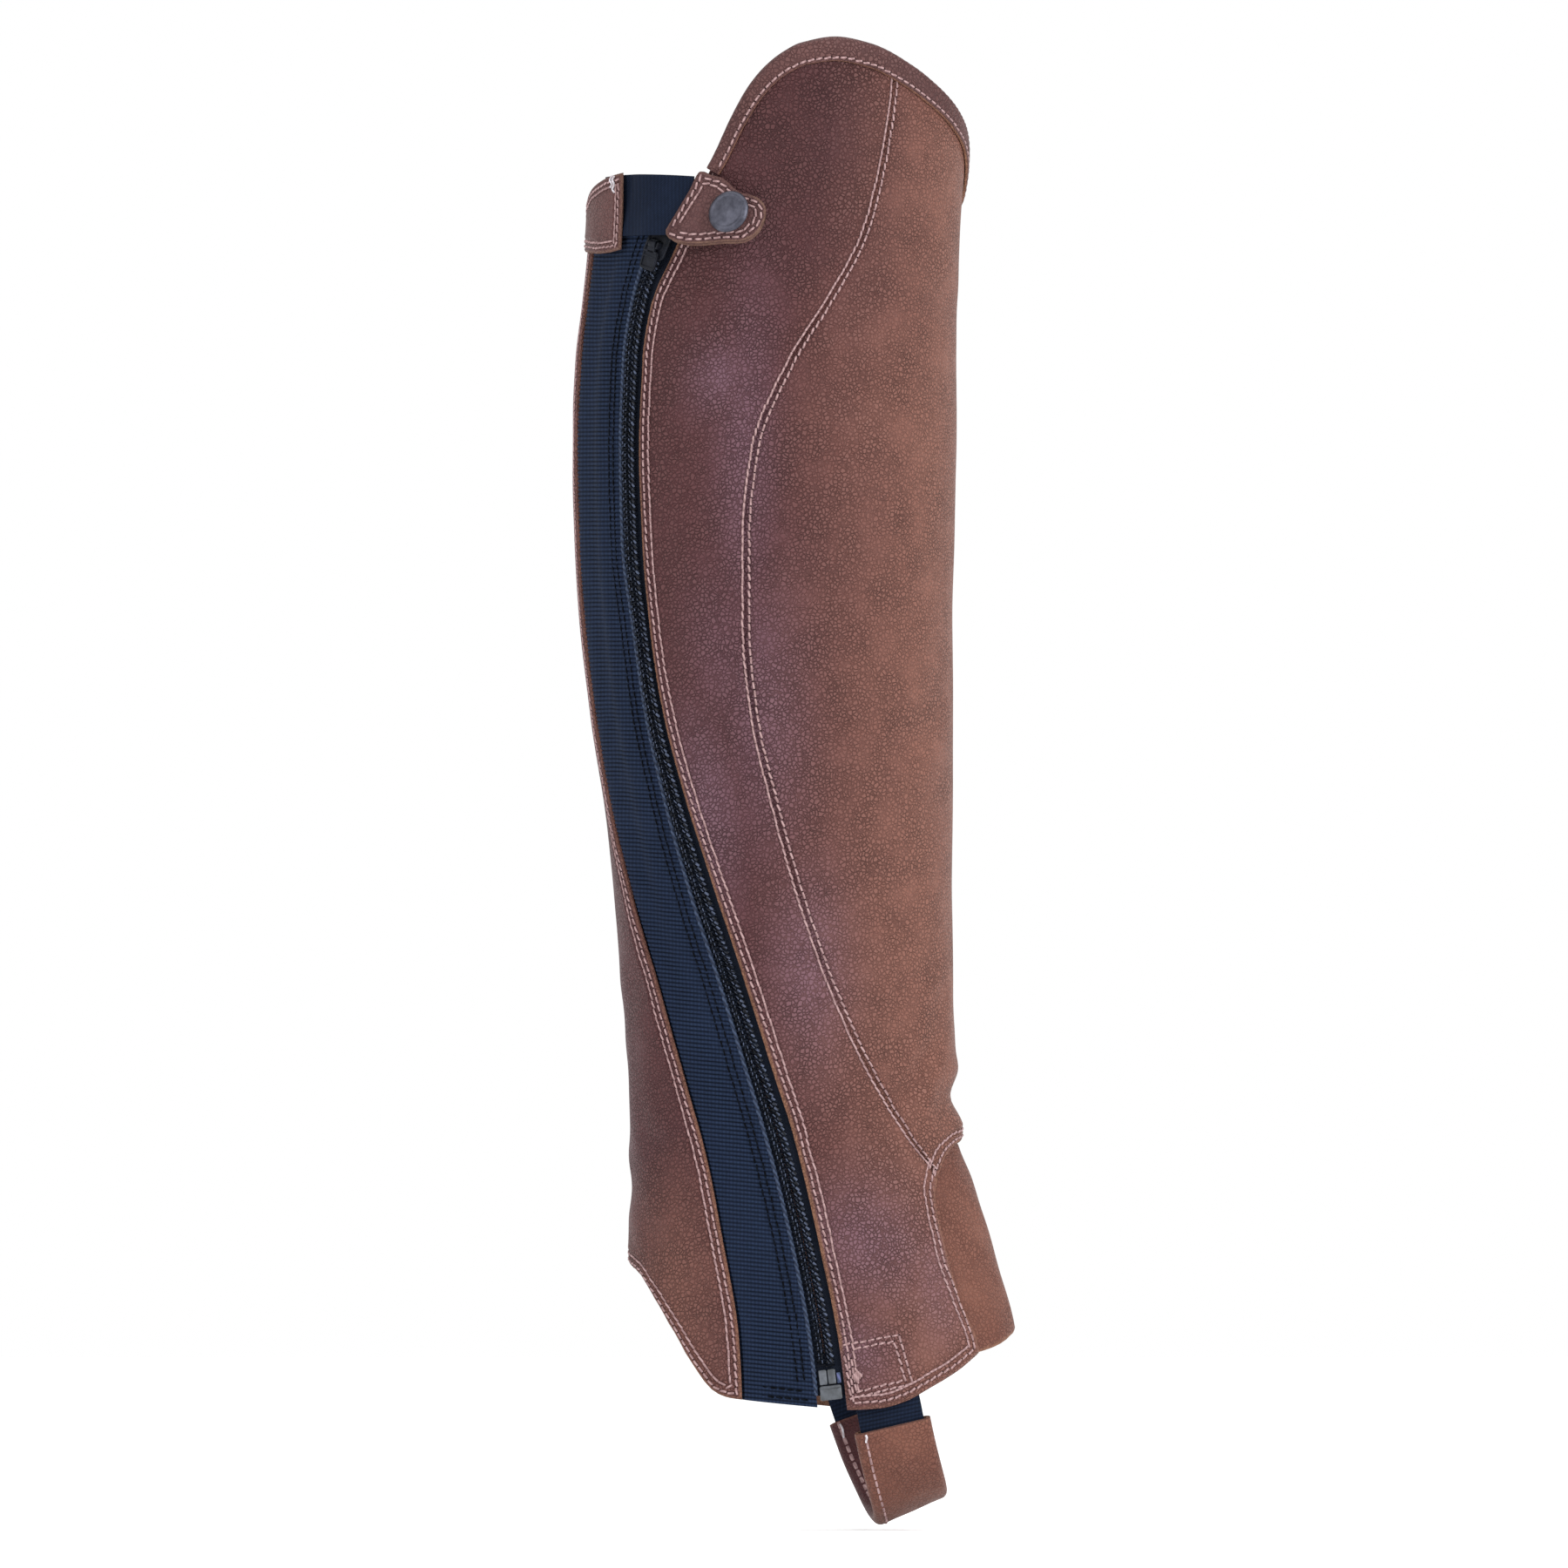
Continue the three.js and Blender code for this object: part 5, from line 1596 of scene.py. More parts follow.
def build_zip_ends(context):
    s = settings_of(context)
    finish = shared("zip end metal", hard_finish, s.end_colour, s.end_light_colour, 0.75, 0.3)
    top, length = -300.8, 5.2
    height = top - length / 2 - GAP
    matrix = on_face(zip_angle(height), height, zip_run(height))
    base = UNDER_PANEL + GAP
    plate_width, box_length = 2.7, 4.9
    plate = rounded_outline(plate_width, length, 0.5)
    aside = plate_width / 2 + GAP / 2
    for part, x in (("back", -aside), ("front", aside)):
        shape = Shape()
        slab(shape, matrix, plate + [x, 0], base, base + 1.6, 0.3)
        stand_in(shape.object(f"end_plate_{part}", finish), "zip_end_metal", f"zip_pin_{part}")
    shape = Shape()
    below = -length / 2 - GAP - box_length / 2
    slab(shape, matrix, rounded_outline(7.4, box_length, 0.7) + [0.6, below], base, base + 2.4, 0.4)
    lip = rounded_outline(6.9, 0.8, 0.3) + [0.6, below + 1.85]
    slab(shape, matrix, lip, base + 2.2, base + 2.65, 0.15)
    stand_in(shape.object("end_box", finish), "zip_end_metal", "zip_box")
    scrap = Shape()
    slab(scrap, matrix, rounded_outline(1.3, 3.6, 0.3) + [3.9, -0.6], base - 0.3, base + 0.2, 0.1)
    bit = shared("tape end", thread_finish, s.cord_light_colour, s.tape_end_colour)
    scrap.object("tape_end", bit)


def build_slider(context):
    s = settings_of(context)
    paint = (s.slider_colour, s.slider_light_colour)
    finish = shared("slider paint", hard_finish, *paint, 0.1, 0.35, 0.16)
    matrix = slider_place()
    shape = Shape()
    bottom = UNDER_PANEL - TAPE - 0.5
    outline = rounded_outline(8.8, 12, 2.2, 8)
    slab(shape, matrix, outline, 0.2, 1.4, 0.45)
    slab(shape, matrix, outline, bottom - 1.2, bottom, 0.35)
    slab(shape, matrix, rounded_outline(1.8, 1.8, 0.4) + [0, 5.1], bottom - 0.6, 0.8, 0.1)
    for side in (-1, 1):
        ear = rounded_outline(0.6, 2.6, 0.25) + [side * 2.05, -0.8]
        slab(shape, matrix, ear, 0.9, 4.2, 0.2)
        rail = rounded_outline(0.6, 9.6, 0.28) + [side * 3.7, 0]
        slab(shape, matrix, rail, 1.2, 1.75, 0.2)
    cylinder(shape, matrix, HINGE, 0.55, 4.1)
    stand_in(shape.object("slider_body", finish), "slider_paint", "zip_slider")


def cylinder(shape, matrix, middle, radius, length, segments=24, hollow=0.0):
    """Adds a rod along local X, or a ring of it if hollow is the bore's radius."""
    turn = np.arange(segments) * math.tau / segments
    rings = []
    half = length / 2
    chamfer = min(0.12, radius / 4)
    small = radius - chamfer
    steps = [(-half, small), (-half + chamfer, radius), (half - chamfer, radius), (half, small)]
    if hollow:
        steps += [(half, hollow), (-half, hollow)]
    for x, r in steps:
        ring = np.stack([np.full(segments, x), np.cos(turn) * r, np.sin(turn) * r], -1)
        rings.append(ring + middle)
    rings = np.array(rings)
    rotation, place = matrix
    points = rings @ rotation.T + place
    ids = np.arange(rings.shape[0] * segments).reshape(-1, segments)
    if hollow:
        ids = np.concatenate([ids, ids[:1]])
        shape.add(points, [strip_faces(ids, closed=True)[:, ::-1]])
    else:
        shape.add(points, [strip_faces(ids, closed=True)[:, ::-1], ids[:1, ::-1], ids[-1:]])


def build_pull(context):
    finish = bpy.data.materials["slider paint"]
    rotation, place = slider_place()
    sway = turn_about((0, 0, 1), 8)
    matrix = (rotation @ sway, rotation @ np.array(HINGE) + place)
    shape = Shape()
    cylinder(shape, matrix, (0, 0, 0), 1.5, 2.8, 32, 0.9)
    slab(shape, matrix, rounded_outline(2.8, 2.6, 0.4) + [0, -2.3], -0.7, 0.7, 0.25)
    slab(shape, matrix, rounded_outline(6.0, 6.8, 1.1, 8) + [0, -5.8], -0.7, 0.45, 0.3)
    for y, thick in ((-2.9, 0.7), (-4.6, 0.5), (-8.4, 0.6)):
        slab(shape, matrix, rounded_outline(5.2, thick, 0.22) + [0, y], 0.3, 0.7, 0.15)
    for side in (-1, 1):
        slab(shape, matrix, rounded_outline(0.5, 5.2, 0.2) + [side * 2.55, -5.8], 0.3, 0.7, 0.15)
    stand_in(shape.object("pull_tag", finish, body="pull"), "slider_paint", "zip_pull")


# ---------------------------------------------------------------- snap closure


def build_band(context):
    along = np.linspace(0, 1, 90)[:, None]
    up = np.linspace(0, 1, 100)[None, :]
    height = mix(82.0, 102.0 + 0.8 * (1 - (2 * along - 1) ** 2), up)
    slant = mix(-33.4, -21.5, (height - 83.8) / (103.6 - 83.8))
    end = angle_at(np.minimum(-22.3, slant + 14), height)
    grid = np.stack([mix(22.0, end, along), height], -1)

    def ribs(angle, at_height):
        x = face(angle, at_height)[..., 0]
        return 0.55 * np.abs(np.sin(math.pi * (at_height - 0.9 * x) / 0.8))

    def lift(angle, at_height):
        x = face(angle, at_height)[..., 0]
        over = on_gore(angle, at_height) + LAYER_GAP
        in_tab = tab_lift(x, at_height) + BAND_IN_TAB
        base = mix(over, in_tab, ramp(angle, 36, 53)) + ELASTIC
        return base - 0.15 + 0.15 * ribs(angle, at_height)

    shape = wall([grid], lift, ELASTIC - 0.2, creased=0.0, ribs=ribs)
    piece = shape.object("band_elastic", elastic(context))
    stand_in(piece, "elastic", "snap_band", held="stretched", rests_on=["elastic_panel"])


def build_patch(context):
    angle = np.linspace(-14, 36, 100)[:, None]
    up = np.linspace(0, 1, 56)[None, :]
    height = mix(PATCH.read("bottom", angle), PATCH.read("top", angle), up)
    grid = np.stack([angle + 0 * height, height], -1)
    border = np.concatenate([grid[:, 0], grid[-1], grid[::-1, -1], grid[::-1][-1:, 0]])
    sewn = np.concatenate([grid[:, 0], grid[-1], grid[::-1, -1]])
    rows = [inset(sewn, distance) for distance in PATCH_ROWS]
    near = Nearby([evenly(border, 0.4)])

    def lift(at_angle, at_height):
        return PATCH.read("lift", at_angle) + THIN

    def bare(at_angle, at_height):
        return 0.25 + 0.35 * np.maximum(ramp(at_angle, 30, 34), 1 - ramp(at_height, 78, 80))

    shape = wall([grid], lift, THIN, near.distance, Nearby(rows).distance, 1.0, 0.8, bare=bare)
    piece = shape.object("patch_leather", leather(context, "patch"))
    stand_in(piece, "leather", "corner_patch", held="laid", rests_on=["inner_leather"])
    sew_rows(context, "patch", rows, lambda a, h: PATCH.read("lift", a) + THIN - 0.1, tight=1)


def tab_outline(grow):
    x = np.linspace(TAB.key[0], TAB.key[-1], 90)
    bottom = np.stack([x, TAB.read("bottom", x) - grow], -1)
    top = np.stack([x, TAB.read("top", x)], -1)[::-1]
    return np.concatenate([bottom, top, bottom[:1]])


def tab_path(outline):
    dense = np.concatenate([np.linspace(a, b, 4)[:-1] for a, b in zip(outline[:-1], outline[1:])])
    return np.stack([tab_place(dense[:, 0], dense[:, 1]), dense[:, 1]], -1)


def build_tab(context):
    layers = (
        ("tab_back_leather", "snap_tab_back", lambda x: 0 * x, 0.8),
        ("tab_face_leather", "snap_tab_face", face_above_back, 0.0),
    )
    rows = [inset(tab_path(tab_outline(0.0)), distance) for distance in TAB_ROWS]
    for name, node, above, grow in layers:
        x = np.linspace(TAB.key[0], TAB.key[-1], 96)[:, None]
        up = np.linspace(0, 1, 52)[None, :]
        height = mix(TAB.read("bottom", x) - grow, TAB.read("top", x), up)
        grid = np.stack([tab_place(x + 0 * height, height), height], -1)
        near = Nearby([evenly(tab_path(tab_outline(grow)), 0.4)])

        def lift(angle, at_height, above=above):
            here = face(angle, at_height)[..., 0]
            return tab_lift(here, at_height) + above(here) + THIN

        def bare(angle, at_height):
            low = 1 - ramp(at_height, 83, 88)
            return 0.14 + 0.50 * np.maximum(low, ramp(face(angle, at_height)[..., 0], -6, -1))

        shape = wall([grid], lift, THIN, near.distance, Nearby(rows).distance, 0.0, 0.8, bare=bare)
        piece = shape.object(name, leather(context, "tab"))
        stand_in(piece, "leather", node, held="laid", rests_on=["band_elastic"])

    def on_tab(angle, height):
        here = face(angle, height)[..., 0]
        rise = tab_lift(here, height) + face_above_back(here) + THIN - 0.1
        return rise - relief(angle, height)

    sew_rows(context, "tab", rows, on_tab, tight=1)


def build_cap(context):
    s = settings_of(context)
    finish = shared("snap metal", hard_finish, s.snap_colour, s.snap_light_colour, 0.85, 0.28)
    x, height = CAP_PLACE["x"], CAP_PLACE["height"]
    rotation, place = on_face(float(angle_at(x, height)), height, np.array([0, 0, 1.0]))
    lift = float(tab_lift(x, height) + face_above_back(x)) + THIN + CAP_PLACE["seat"]
    lean = turn_about((1, 1, 0), -CAP_PLACE["tilt"])
    matrix = (rotation @ lean, place + rotation @ np.array([0, 0, lift]))
    r = CAP_PLACE["radius"]
    rim = [(r - 0.6, 0), (r - 0.12, 0.2), (r, 0.6), (r - 0.08, 1.0), (r - 0.45, 1.45), (r - 1.05, 1.85)]
    crown = [(r - 1.5, 2.0), (r - 1.9, 1.86), (r - 2.3, 1.9), (r - 3.4, 2.12)]
    profile = [(0.05, 0), *rim, *crown, (0.05, 2.3)]
    shape = Shape()
    turned_part(shape, matrix, profile)
    stand_in(shape.object("snap_button", finish), "snap_metal", "snap_cap")
    dress("snap_socket", finish)
    dress("snap_stud", finish)


# ---------------------------------------------------------------- strap


def build_strap(context):
    share = np.linspace(0, 1, 420)
    point, _, wide, through = strap_frames(share)
    across = np.linspace(-0.5, 0.5, 22)
    length = np.concatenate([[0], np.cumsum(np.linalg.norm(np.diff(point, axis=0), axis=1))])
    rib = 0.16 * np.abs(np.sin(math.pi * length / 1.3))
    rounding = 1 - np.abs(across * 2) ** 8
    up = (STRAP_THICK / 2 - 0.16 + rib[:, None]) * (0.35 + 0.65 * rounding[None])
    centre = point[:, None] + wide[:, None] * (across * STRAP_WIDTH)[None, :, None]
    front = centre + through[:, None] * up[..., None]
    back = centre - through[:, None] * up[..., None]
    ring = np.concatenate([back, front[:, ::-1]], axis=1)
    ids = np.arange(ring.shape[0] * ring.shape[1]).reshape(ring.shape[:2])
    # Painted highlight on the strap's ribs and painted shade between them, through the rib mask.
    ribbed = np.repeat(rib / 0.16 * 0.5, ring.shape[1])
    shape = Shape().add(ring, [strip_faces(ids, closed=True), ids[:1], ids[-1:, ::-1]], rib=ribbed)
    piece = shape.object("foot_elastic", elastic(context))
    stand_in(piece, "elastic", "strap_elastic", held="hung")


def sleeve_oval(width, thickness):
    w, t = width / 2 - thickness / 2, thickness / 2
    flat = np.linspace(-w, w, 18)
    turn = np.linspace(-math.pi / 2, math.pi / 2, 12)[1:-1]
    right = np.stack([w + t * np.cos(turn), t * np.sin(turn)], -1)
    low = np.stack([flat, np.full(18, -t)], -1)
    high = np.stack([flat[::-1], np.full(18, t)], -1)
    return np.concatenate([low, right, high, -right])


def build_sleeve(context):
    share = np.linspace(*SLEEVE_SPAN, 170)
    point, _, wide, through = strap_frames(share)
    outside = sleeve_oval(SLEEVE_WIDTH, SLEEVE_THICK)
    inside = sleeve_oval(SLEEVE_WIDTH - 2 * SLEEVE_WALL, SLEEVE_THICK - 2 * SLEEVE_WALL)
    size = len(outside)
    station = np.linspace(0, 1, len(share))[:, None]
    curl = np.exp(-station / 0.03) + np.exp(-(1 - station) / 0.03)
    across = outside[None, :, 0]
    wrinkle = 0.22 * np.sin(station * 46 + across * 0.32) * np.sin(across * 0.21 + 1)
    wave = 1 + (wrinkle + 0.22 * curl * np.sin(across * 0.5)) / SLEEVE_THICK

    def ring(outline, scale):
        w = outline[None, :, 0] + 0 * station
        t = outline[None, :, 1] * scale
        return point[:, None] + wide[:, None] * w[..., None] + through[:, None] * t[..., None]

    points = np.concatenate([ring(outside, wave), ring(inside, 1 + 0 * wave)], axis=1)
    ids = np.arange(len(share) * 2 * size).reshape(len(share), 2 * size)
    outer, inner = ids[:, :size], ids[:, size:]
    caps = []
    for row, flip in ((0, False), (len(share) - 1, True)):
        pair = np.stack([outer[row], inner[row]])
        quads = strip_faces(pair, closed=True)
        caps.append(quads[:, ::-1] if flip else quads)
    faces = [strip_faces(outer, closed=True), strip_faces(inner, closed=True)[:, ::-1], *caps]
    raw = np.zeros(ids.shape)
    raw[:2] = raw[-2:] = 0.25
    flesh = np.zeros(ids.shape)
    flesh[:, size:] = 1.0
    # Painted shade over the far half of the sleeve, and a painted shadow line at its two ends.
    shade = 0.85 * np.repeat(ramp(station[:, 0], 0.42, 0.62), 2 * size)
    shade[: 2 * size] = shade[-2 * size :] = 0.9
    shape = Shape().add(points, faces, raw=raw.ravel(), flesh=flesh.ravel(), shade=shade)
    piece = shape.object("foot_sleeve", leather(context, "gusset"))
    stand_in(piece, "leather", "strap_sleeve", held="folded", rests_on=["foot_elastic"])
    sewing = Shape()
    s = settings_of(context)
    pitch, long = s.stitch_pitch / MM, s.stitch_length / MM
    count = int(np.linalg.norm(np.diff(point, axis=0), axis=1).sum() / pitch)
    half = mix(*SLEEVE_SPAN, 0.5)
    near = np.linspace(SLEEVE_SPAN[0] + 0.012, half, count // 2)
    far = np.linspace(half + 0.02, SLEEVE_SPAN[1] - 0.012, int(count / 2 * 0.84))
    for at, size, broadness in ((near, long, 0.8), (far, 1.05 * long, 1.25)):
        spot, along, broad, thick = strap_frames(at)
        for face_side in (-1, 1):
            out = thick * face_side
            middle = spot + broad * -(SLEEVE_WIDTH / 2 - 3.4) + out * (SLEEVE_THICK / 2 + 0.12)
            bars(sewing, middle, along, np.cross(out, along), out, size, broadness, 0.55)
    sewing.object("sleeve_stitches", thread(context))


# ---------------------------------------------------------------- stitching

THREAD_RISE = 0.55
LOOSE_STITCH, TIGHT_STITCH = 0.94, 1.09  # a stitch's length in loose and in tight rows, as a share
LOOSE_SLANT, TIGHT_SLANT = 0.12, 0.06
# Colours of the painted shade where the needle went in.
HOLE_SHADE_COLOURS = ((0.014, 0.007, 0.008), (0.024, 0.012, 0.013))
LOOSE_THREAD_COLOURS = ((0.42, 0.38, 0.40), (0.74, 0.72, 0.78))


def sew_rows(context, name, rows, lift, tight=None):
    """Rows of stitches. In the row numbered tight they touch, and no discs of painted shade mark where
    the needle went in.
    """
    s = settings_of(context)
    pitch, width = s.stitch_pitch / MM, s.stitch_width / MM
    sewing, hole_shades = Shape(), Shape()
    for k, row in enumerate(rows):
        length = s.stitch_length / MM * (TIGHT_STITCH if k == tight else LOOSE_STITCH)
        slant = TIGHT_SLANT if k == tight else LOOSE_SLANT
        made = stitch_line(sewing, row, pitch, length, width, THREAD_RISE, lift, k * 0.5 * pitch, slant)
        if k != tight:
            needle_hole_shades(hole_shades, *made, pitch)
    sewing.object(f"{name}_stitches", thread(context))
    # Painted shade: dark discs where the needle went in.
    dark = shared("needle hole", thread_finish, *HOLE_SHADE_COLOURS, gloss=0.05)
    hole_shades.object(f"{name}_needle_holes", dark)


def add_knot(context):
    """The lozenge of thread where the square of stitching starts."""
    x, height = KNOT
    rotation, place = on_face(float(angle_at(x, height)), height, np.array([0, 0, 1.0]))
    knot = Shape()
    for row in np.arange(-1.5, 1.6, 0.5):
        long = 4.4 * (1 - abs(row) / 2.1)
        spot = place + rotation @ np.array([row, 0.15 * row, 0.42])
        axes = [rotation[:, k][None] for k in (1, 0, 2)]
        bars(knot, spot[None], *axes, long, 0.62, 0.5)
    knot.object("hem_knot", thread(context))


def thread_end(shape, points, radius):
    """Adds a loose end of thread through some points."""
    at = np.linspace(0, len(points) - 1, 24)
    line = np.stack([np.interp(at, range(len(points)), points[:, k]) for k in range(3)], -1)
    tube(shape, line, np.array([[0, -1.0, 0.2]]) + 0 * line, radius, 6)


def add_thread_ends(context):
    """Short ends of thread left loose on the corner patch and on the strap's sleeve."""
    ends = Shape()
    for x, start, end in ((-49.3, 96.8, 102.2), (-50.2, 98.5, 102.4)):
        height = np.linspace(start, end, 6)
        angle = angle_at(x + 0.4 * np.sin(height * 2.1), height)
        thread_end(ends, lifted(angle, height, PATCH.read("lift", angle) + THIN + 0.25), 0.36)
    for at, aside, long in ((SLEEVE_SPAN[0] + 0.004, -9.9, 2.6), (SLEEVE_SPAN[1] - 0.010, -9.6, 5.0)):
        spot, along, broad, thick = strap_frames(np.array([at]))
        for face_side in (-1, 1):
            start = spot + broad * aside + thick * face_side * (SLEEVE_THICK / 2 + 0.35)
            turn = np.linspace(0, 1, 6)[:, None]
            way = along * (1 if at < 0.5 else -1)
            thread_end(ends, start + way * turn * long + broad * 0.3 * np.sin(turn * 5.0), 0.38)
    pale = shared("loose thread", thread_finish, *LOOSE_THREAD_COLOURS)
    ends.object("loose_thread_ends", pale)


def build_stitching(context):
    rows = stitch_rows()

    def on_panel(angle, height):
        return -0.16 + 0 * angle

    for name, tight in (("outer", 1), ("inner", 1), ("seam", 0), ("hem_box", None)):
        sew_rows(context, name, rows[name], on_panel, tight)
    add_knot(context)
    add_thread_ends(context)
    angle = np.linspace(70.0, 344.0, 900)
    places = binding_station(angle, 2.8 - BINDING_WIDTH.read("width", angle))
    row = evenly(np.stack(places, -1), 0.5)
    sew_rows(context, "binding", [row], lambda p, q: GAP + THIN - 0.12 + 0 * p)


# ---------------------------------------------------------------- stage


def build_stage(context):
    s = settings_of(context)
    scene = context.scene
    glow = {"Emission_Color": (1.0, 1.0, 1.0, 1.0), "Emission_Strength": 0.35}
    floor_finish = Finish("pale floor", Roughness=0.9, Specular_IOR_Level=0.1, **glow)
    floor_finish.feed(
        "Base Color", floor_finish.blend(floor_finish.noise(3.0), s.floor_colour, s.floor_light_colour)
    )
    mesh = bpy.data.meshes.new("floor")
    made = bmesh.new()
    bmesh.ops.create_grid(made, x_segments=2, y_segments=2, size=6)
    made.to_mesh(mesh)
    made.free()
    floor = bpy.data.objects.new("floor", mesh)
    floor.location.z = CAD_BOX[0].z - 0.002
    mesh.materials.append(floor_finish.material)
    scene.collection.objects.link(floor)
    floor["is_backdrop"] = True

    world = bpy.data.worlds.new("studio")
    world.use_nodes = True
    background = world.node_tree.nodes["Background"]
    background.inputs["Color"].default_value = (1, 1, 1, 1)
    background.inputs["Strength"].default_value = s.surround
    scene.world = world
    scene.view_settings.view_transform = "Standard"

    centre = Vector((0.0068, 0.0, -0.10325))  # what the camera and the lights point at
    for name, offset, size, power in (
        ("front light", (1.5, -1.3, 0.9), 1.2, s.key_light),
        ("side light", (-1.4, -1.5, 0.5), 1.6, s.fill_light),
        ("top light", (0.1, 0.2, 1.9), 1.8, s.top_light),
    ):
        lamp = bpy.data.lights.new(name, "AREA")
        lamp.size = size
        lamp.energy = power
        light = bpy.data.objects.new(name, lamp)
        light.location = centre + Vector(offset)
        light.rotation_mode = "QUATERNION"
        light.rotation_quaternion = (-Vector(offset)).to_track_quat("-Z", "Y")
        scene.collection.objects.link(light)

    camera = bpy.data.cameras.new("camera")
    camera.sensor_width = 36
    camera.clip_end = 50
    distance, width = 20.0, 0.531  # how far off the camera stands, and how wide it sees there
    camera.lens = camera.sensor_width * distance / width
    eye = bpy.data.objects.new("camera", camera)
    eye.location = centre + Vector((0, -distance, 0))
    eye.rotation_euler = (math.pi / 2, 0, 0)
    scene.collection.objects.link(eye)
    scene.camera = eye


# ---------------------------------------------------------------- settings


def colour(name, text, value):
    return bpy.props.FloatVectorProperty(
        name=name, description=text, subtype="COLOR", size=3, min=0, max=1, default=value
    )


def distance(name, text, value):
    return bpy.props.FloatProperty(name=name, description=text, unit="LENGTH", min=0, default=value)


def factor(name, text, value, most=1.0):
    return bpy.props.FloatProperty(name=name, description=text, min=0, max=most, default=value)


class ChapSettings(bpy.types.PropertyGroup):
    """Sizes and colours that a user would change."""

    # The blend from Leather to Shin leather is partly the leather's own tone and partly painted light,
    # lighter on the shin side where the front light falls.
    leather_colour: colour("Leather", "Darkest leather, on the calf side", (0.06, 0.0178, 0.02))
    shin_colour: colour("Shin leather", "Lighter leather, on the shin side", (0.168, 0.07, 0.05))
    # Painted violet sheen: a painted reflection laid on the leather in clouds.
    painted_violet_sheen_colour: colour("Bloom", "Violet cast that lies on the leather in clouds", (0.148, 0.084, 0.12))
    # Painted highlight, as sheen, on the leather's pebble tops and in fine specks.
    painted_sheen_colour: colour("Sheen", "Leather where handling has polished it", (0.21, 0.118, 0.104))
    grain_colour: colour("Grain", "Leather in the furrows of its grain", (0.02, 0.007, 0.008))
    gusset_colour: colour("Gusset", "Softer leather over the instep", (0.11, 0.038, 0.0255))
    gusset_light_colour: colour("Gusset, light", "Its lighter places", (0.158, 0.062, 0.041))
    small_colour: colour("Small pieces", "Leather of binding, patch and tab", (0.056, 0.022, 0.022))
    small_light_colour: colour("Small pieces, light", "Their lighter places", (0.086, 0.037, 0.035))
    patch_colour: colour("Patch", "Leather of the corner patch", (0.070, 0.024, 0.023))
    patch_light_colour: colour("Patch, light", "Its lighter places", (0.102, 0.040, 0.037))
    tab_colour: colour("Tab", "Leather of the snap tab", (0.048, 0.0175, 0.0185))
    tab_light_colour: colour("Tab, light", "Its lighter places", (0.072, 0.030, 0.030))
    # Painted shade: colour of the sleeve's far half, its ends and the inner half of cut edges.
    shade_colour: colour("Far leather", "Purplish leather of the far side", (0.052, 0.018, 0.023))
    raw_colour: colour("Raw edge", "Cut edge of the leather", (0.135, 0.06, 0.038))
    raw_light_colour: colour("Raw edge, light", "Its lighter fibres", (0.255, 0.13, 0.082))
    small_raw_colour: colour("Small raw edge", "Cut edge of tab and patch", (0.090, 0.048, 0.034))
    small_raw_light_colour: colour("Small raw edge, light", "Its lighter fibres", (0.175, 0.103, 0.072))
    flesh_colour: colour("Flesh side", "Inner side of the leather", (0.215, 0.118, 0.082))
    thread_colour: colour("Thread", "Sewing thread in its twist", (0.215, 0.13, 0.13))
    thread_light_colour: colour("Thread, light", "Sewing thread on its strands", (0.4, 0.268, 0.266))
    dark_thread_colour: colour("Dark thread", "Thread on the elastic and zip", (0.0006, 0.0009, 0.0018))
    # Painted shade in the grooves and painted highlight on the ribs: grooves take Elastic, ribs Elastic,
    # light.
    elastic_colour: colour("Elastic", "Elastic between its ribs", (0.0015, 0.0025, 0.006))
    elastic_light_colour: colour("Elastic, light", "Elastic on its ribs", (0.0215, 0.036, 0.078))
    tape_colour: colour("Zip tape", "Woven zip tape", (0.004, 0.006, 0.011))
    tape_light_colour: colour("Zip tape, light", "Its lighter fibres", (0.011, 0.014, 0.024))
    coil_colour: colour("Coil", "Moulded coil", (0.0006, 0.0012, 0.003))
    coil_light_colour: colour("Coil, light", "Coil where it is rubbed", (0.007, 0.011, 0.022))
    # Painted glints: bright colour of the bars of thread over the coil.
    glint_colour: colour("Coil thread", "Shiny thread over the coil", (0.085, 0.108, 0.175))
    cord_colour: colour("Edge cord", "Twisted cord at the elastic's edge", (0.008, 0.014, 0.032))
    cord_light_colour: colour("Edge cord, light", "Its raised strands", (0.044, 0.066, 0.12))
    tape_end_colour: colour("Tape end", "Worn end of the zip tape", (0.16, 0.17, 0.36))
    end_colour: colour("Zip ends", "Metal plates and box", (0.07, 0.075, 0.082))
    end_light_colour: colour("Zip ends, light", "Metal where it is rubbed", (0.125, 0.135, 0.155))
    slider_colour: colour("Slider", "Painted slider and pull", (0.003, 0.004, 0.007))
    slider_light_colour: colour("Slider, light", "Paint where it is rubbed", (0.012, 0.014, 0.022))
    snap_colour: colour("Snap", "Dark metal of the snap", (0.049, 0.05, 0.066))
    snap_light_colour: colour("Snap, light", "Metal where it is rubbed", (0.104, 0.105, 0.134))
    floor_colour: colour("Floor", "Plain pale floor", (0.80, 0.80, 0.80))
    floor_light_colour: colour("Floor, light", "Its lighter places", (0.86, 0.86, 0.86))
    stitch_pitch: distance("Stitch pitch", "From one stitch to the next", 0.00283)
    stitch_length: distance("Stitch length", "Length of one stitch", 0.00272)
    stitch_width: distance("Stitch width", "Width of the thread", 0.00074)
    rib_pitch: distance("Rib pitch", "From one rib of the elastic to the next", 0.00145)
    grain: factor("Grain", "How strong the leather's grain is", 1.0, 3.0)
    surround: factor("Surround", "Strength of the light from all round", 1.0, 5.0)
    key_light: factor("Front light", "Power of the light on the shin side, in watts", 34.0, 1000.0)
    fill_light: factor("Side light", "Power of the light on the calf side, in watts", 14.0, 1000.0)
    top_light: factor("Top light", "Power of the light from above, in watts", 16.0, 1000.0)


# ---------------------------------------------------------------- operators and panel


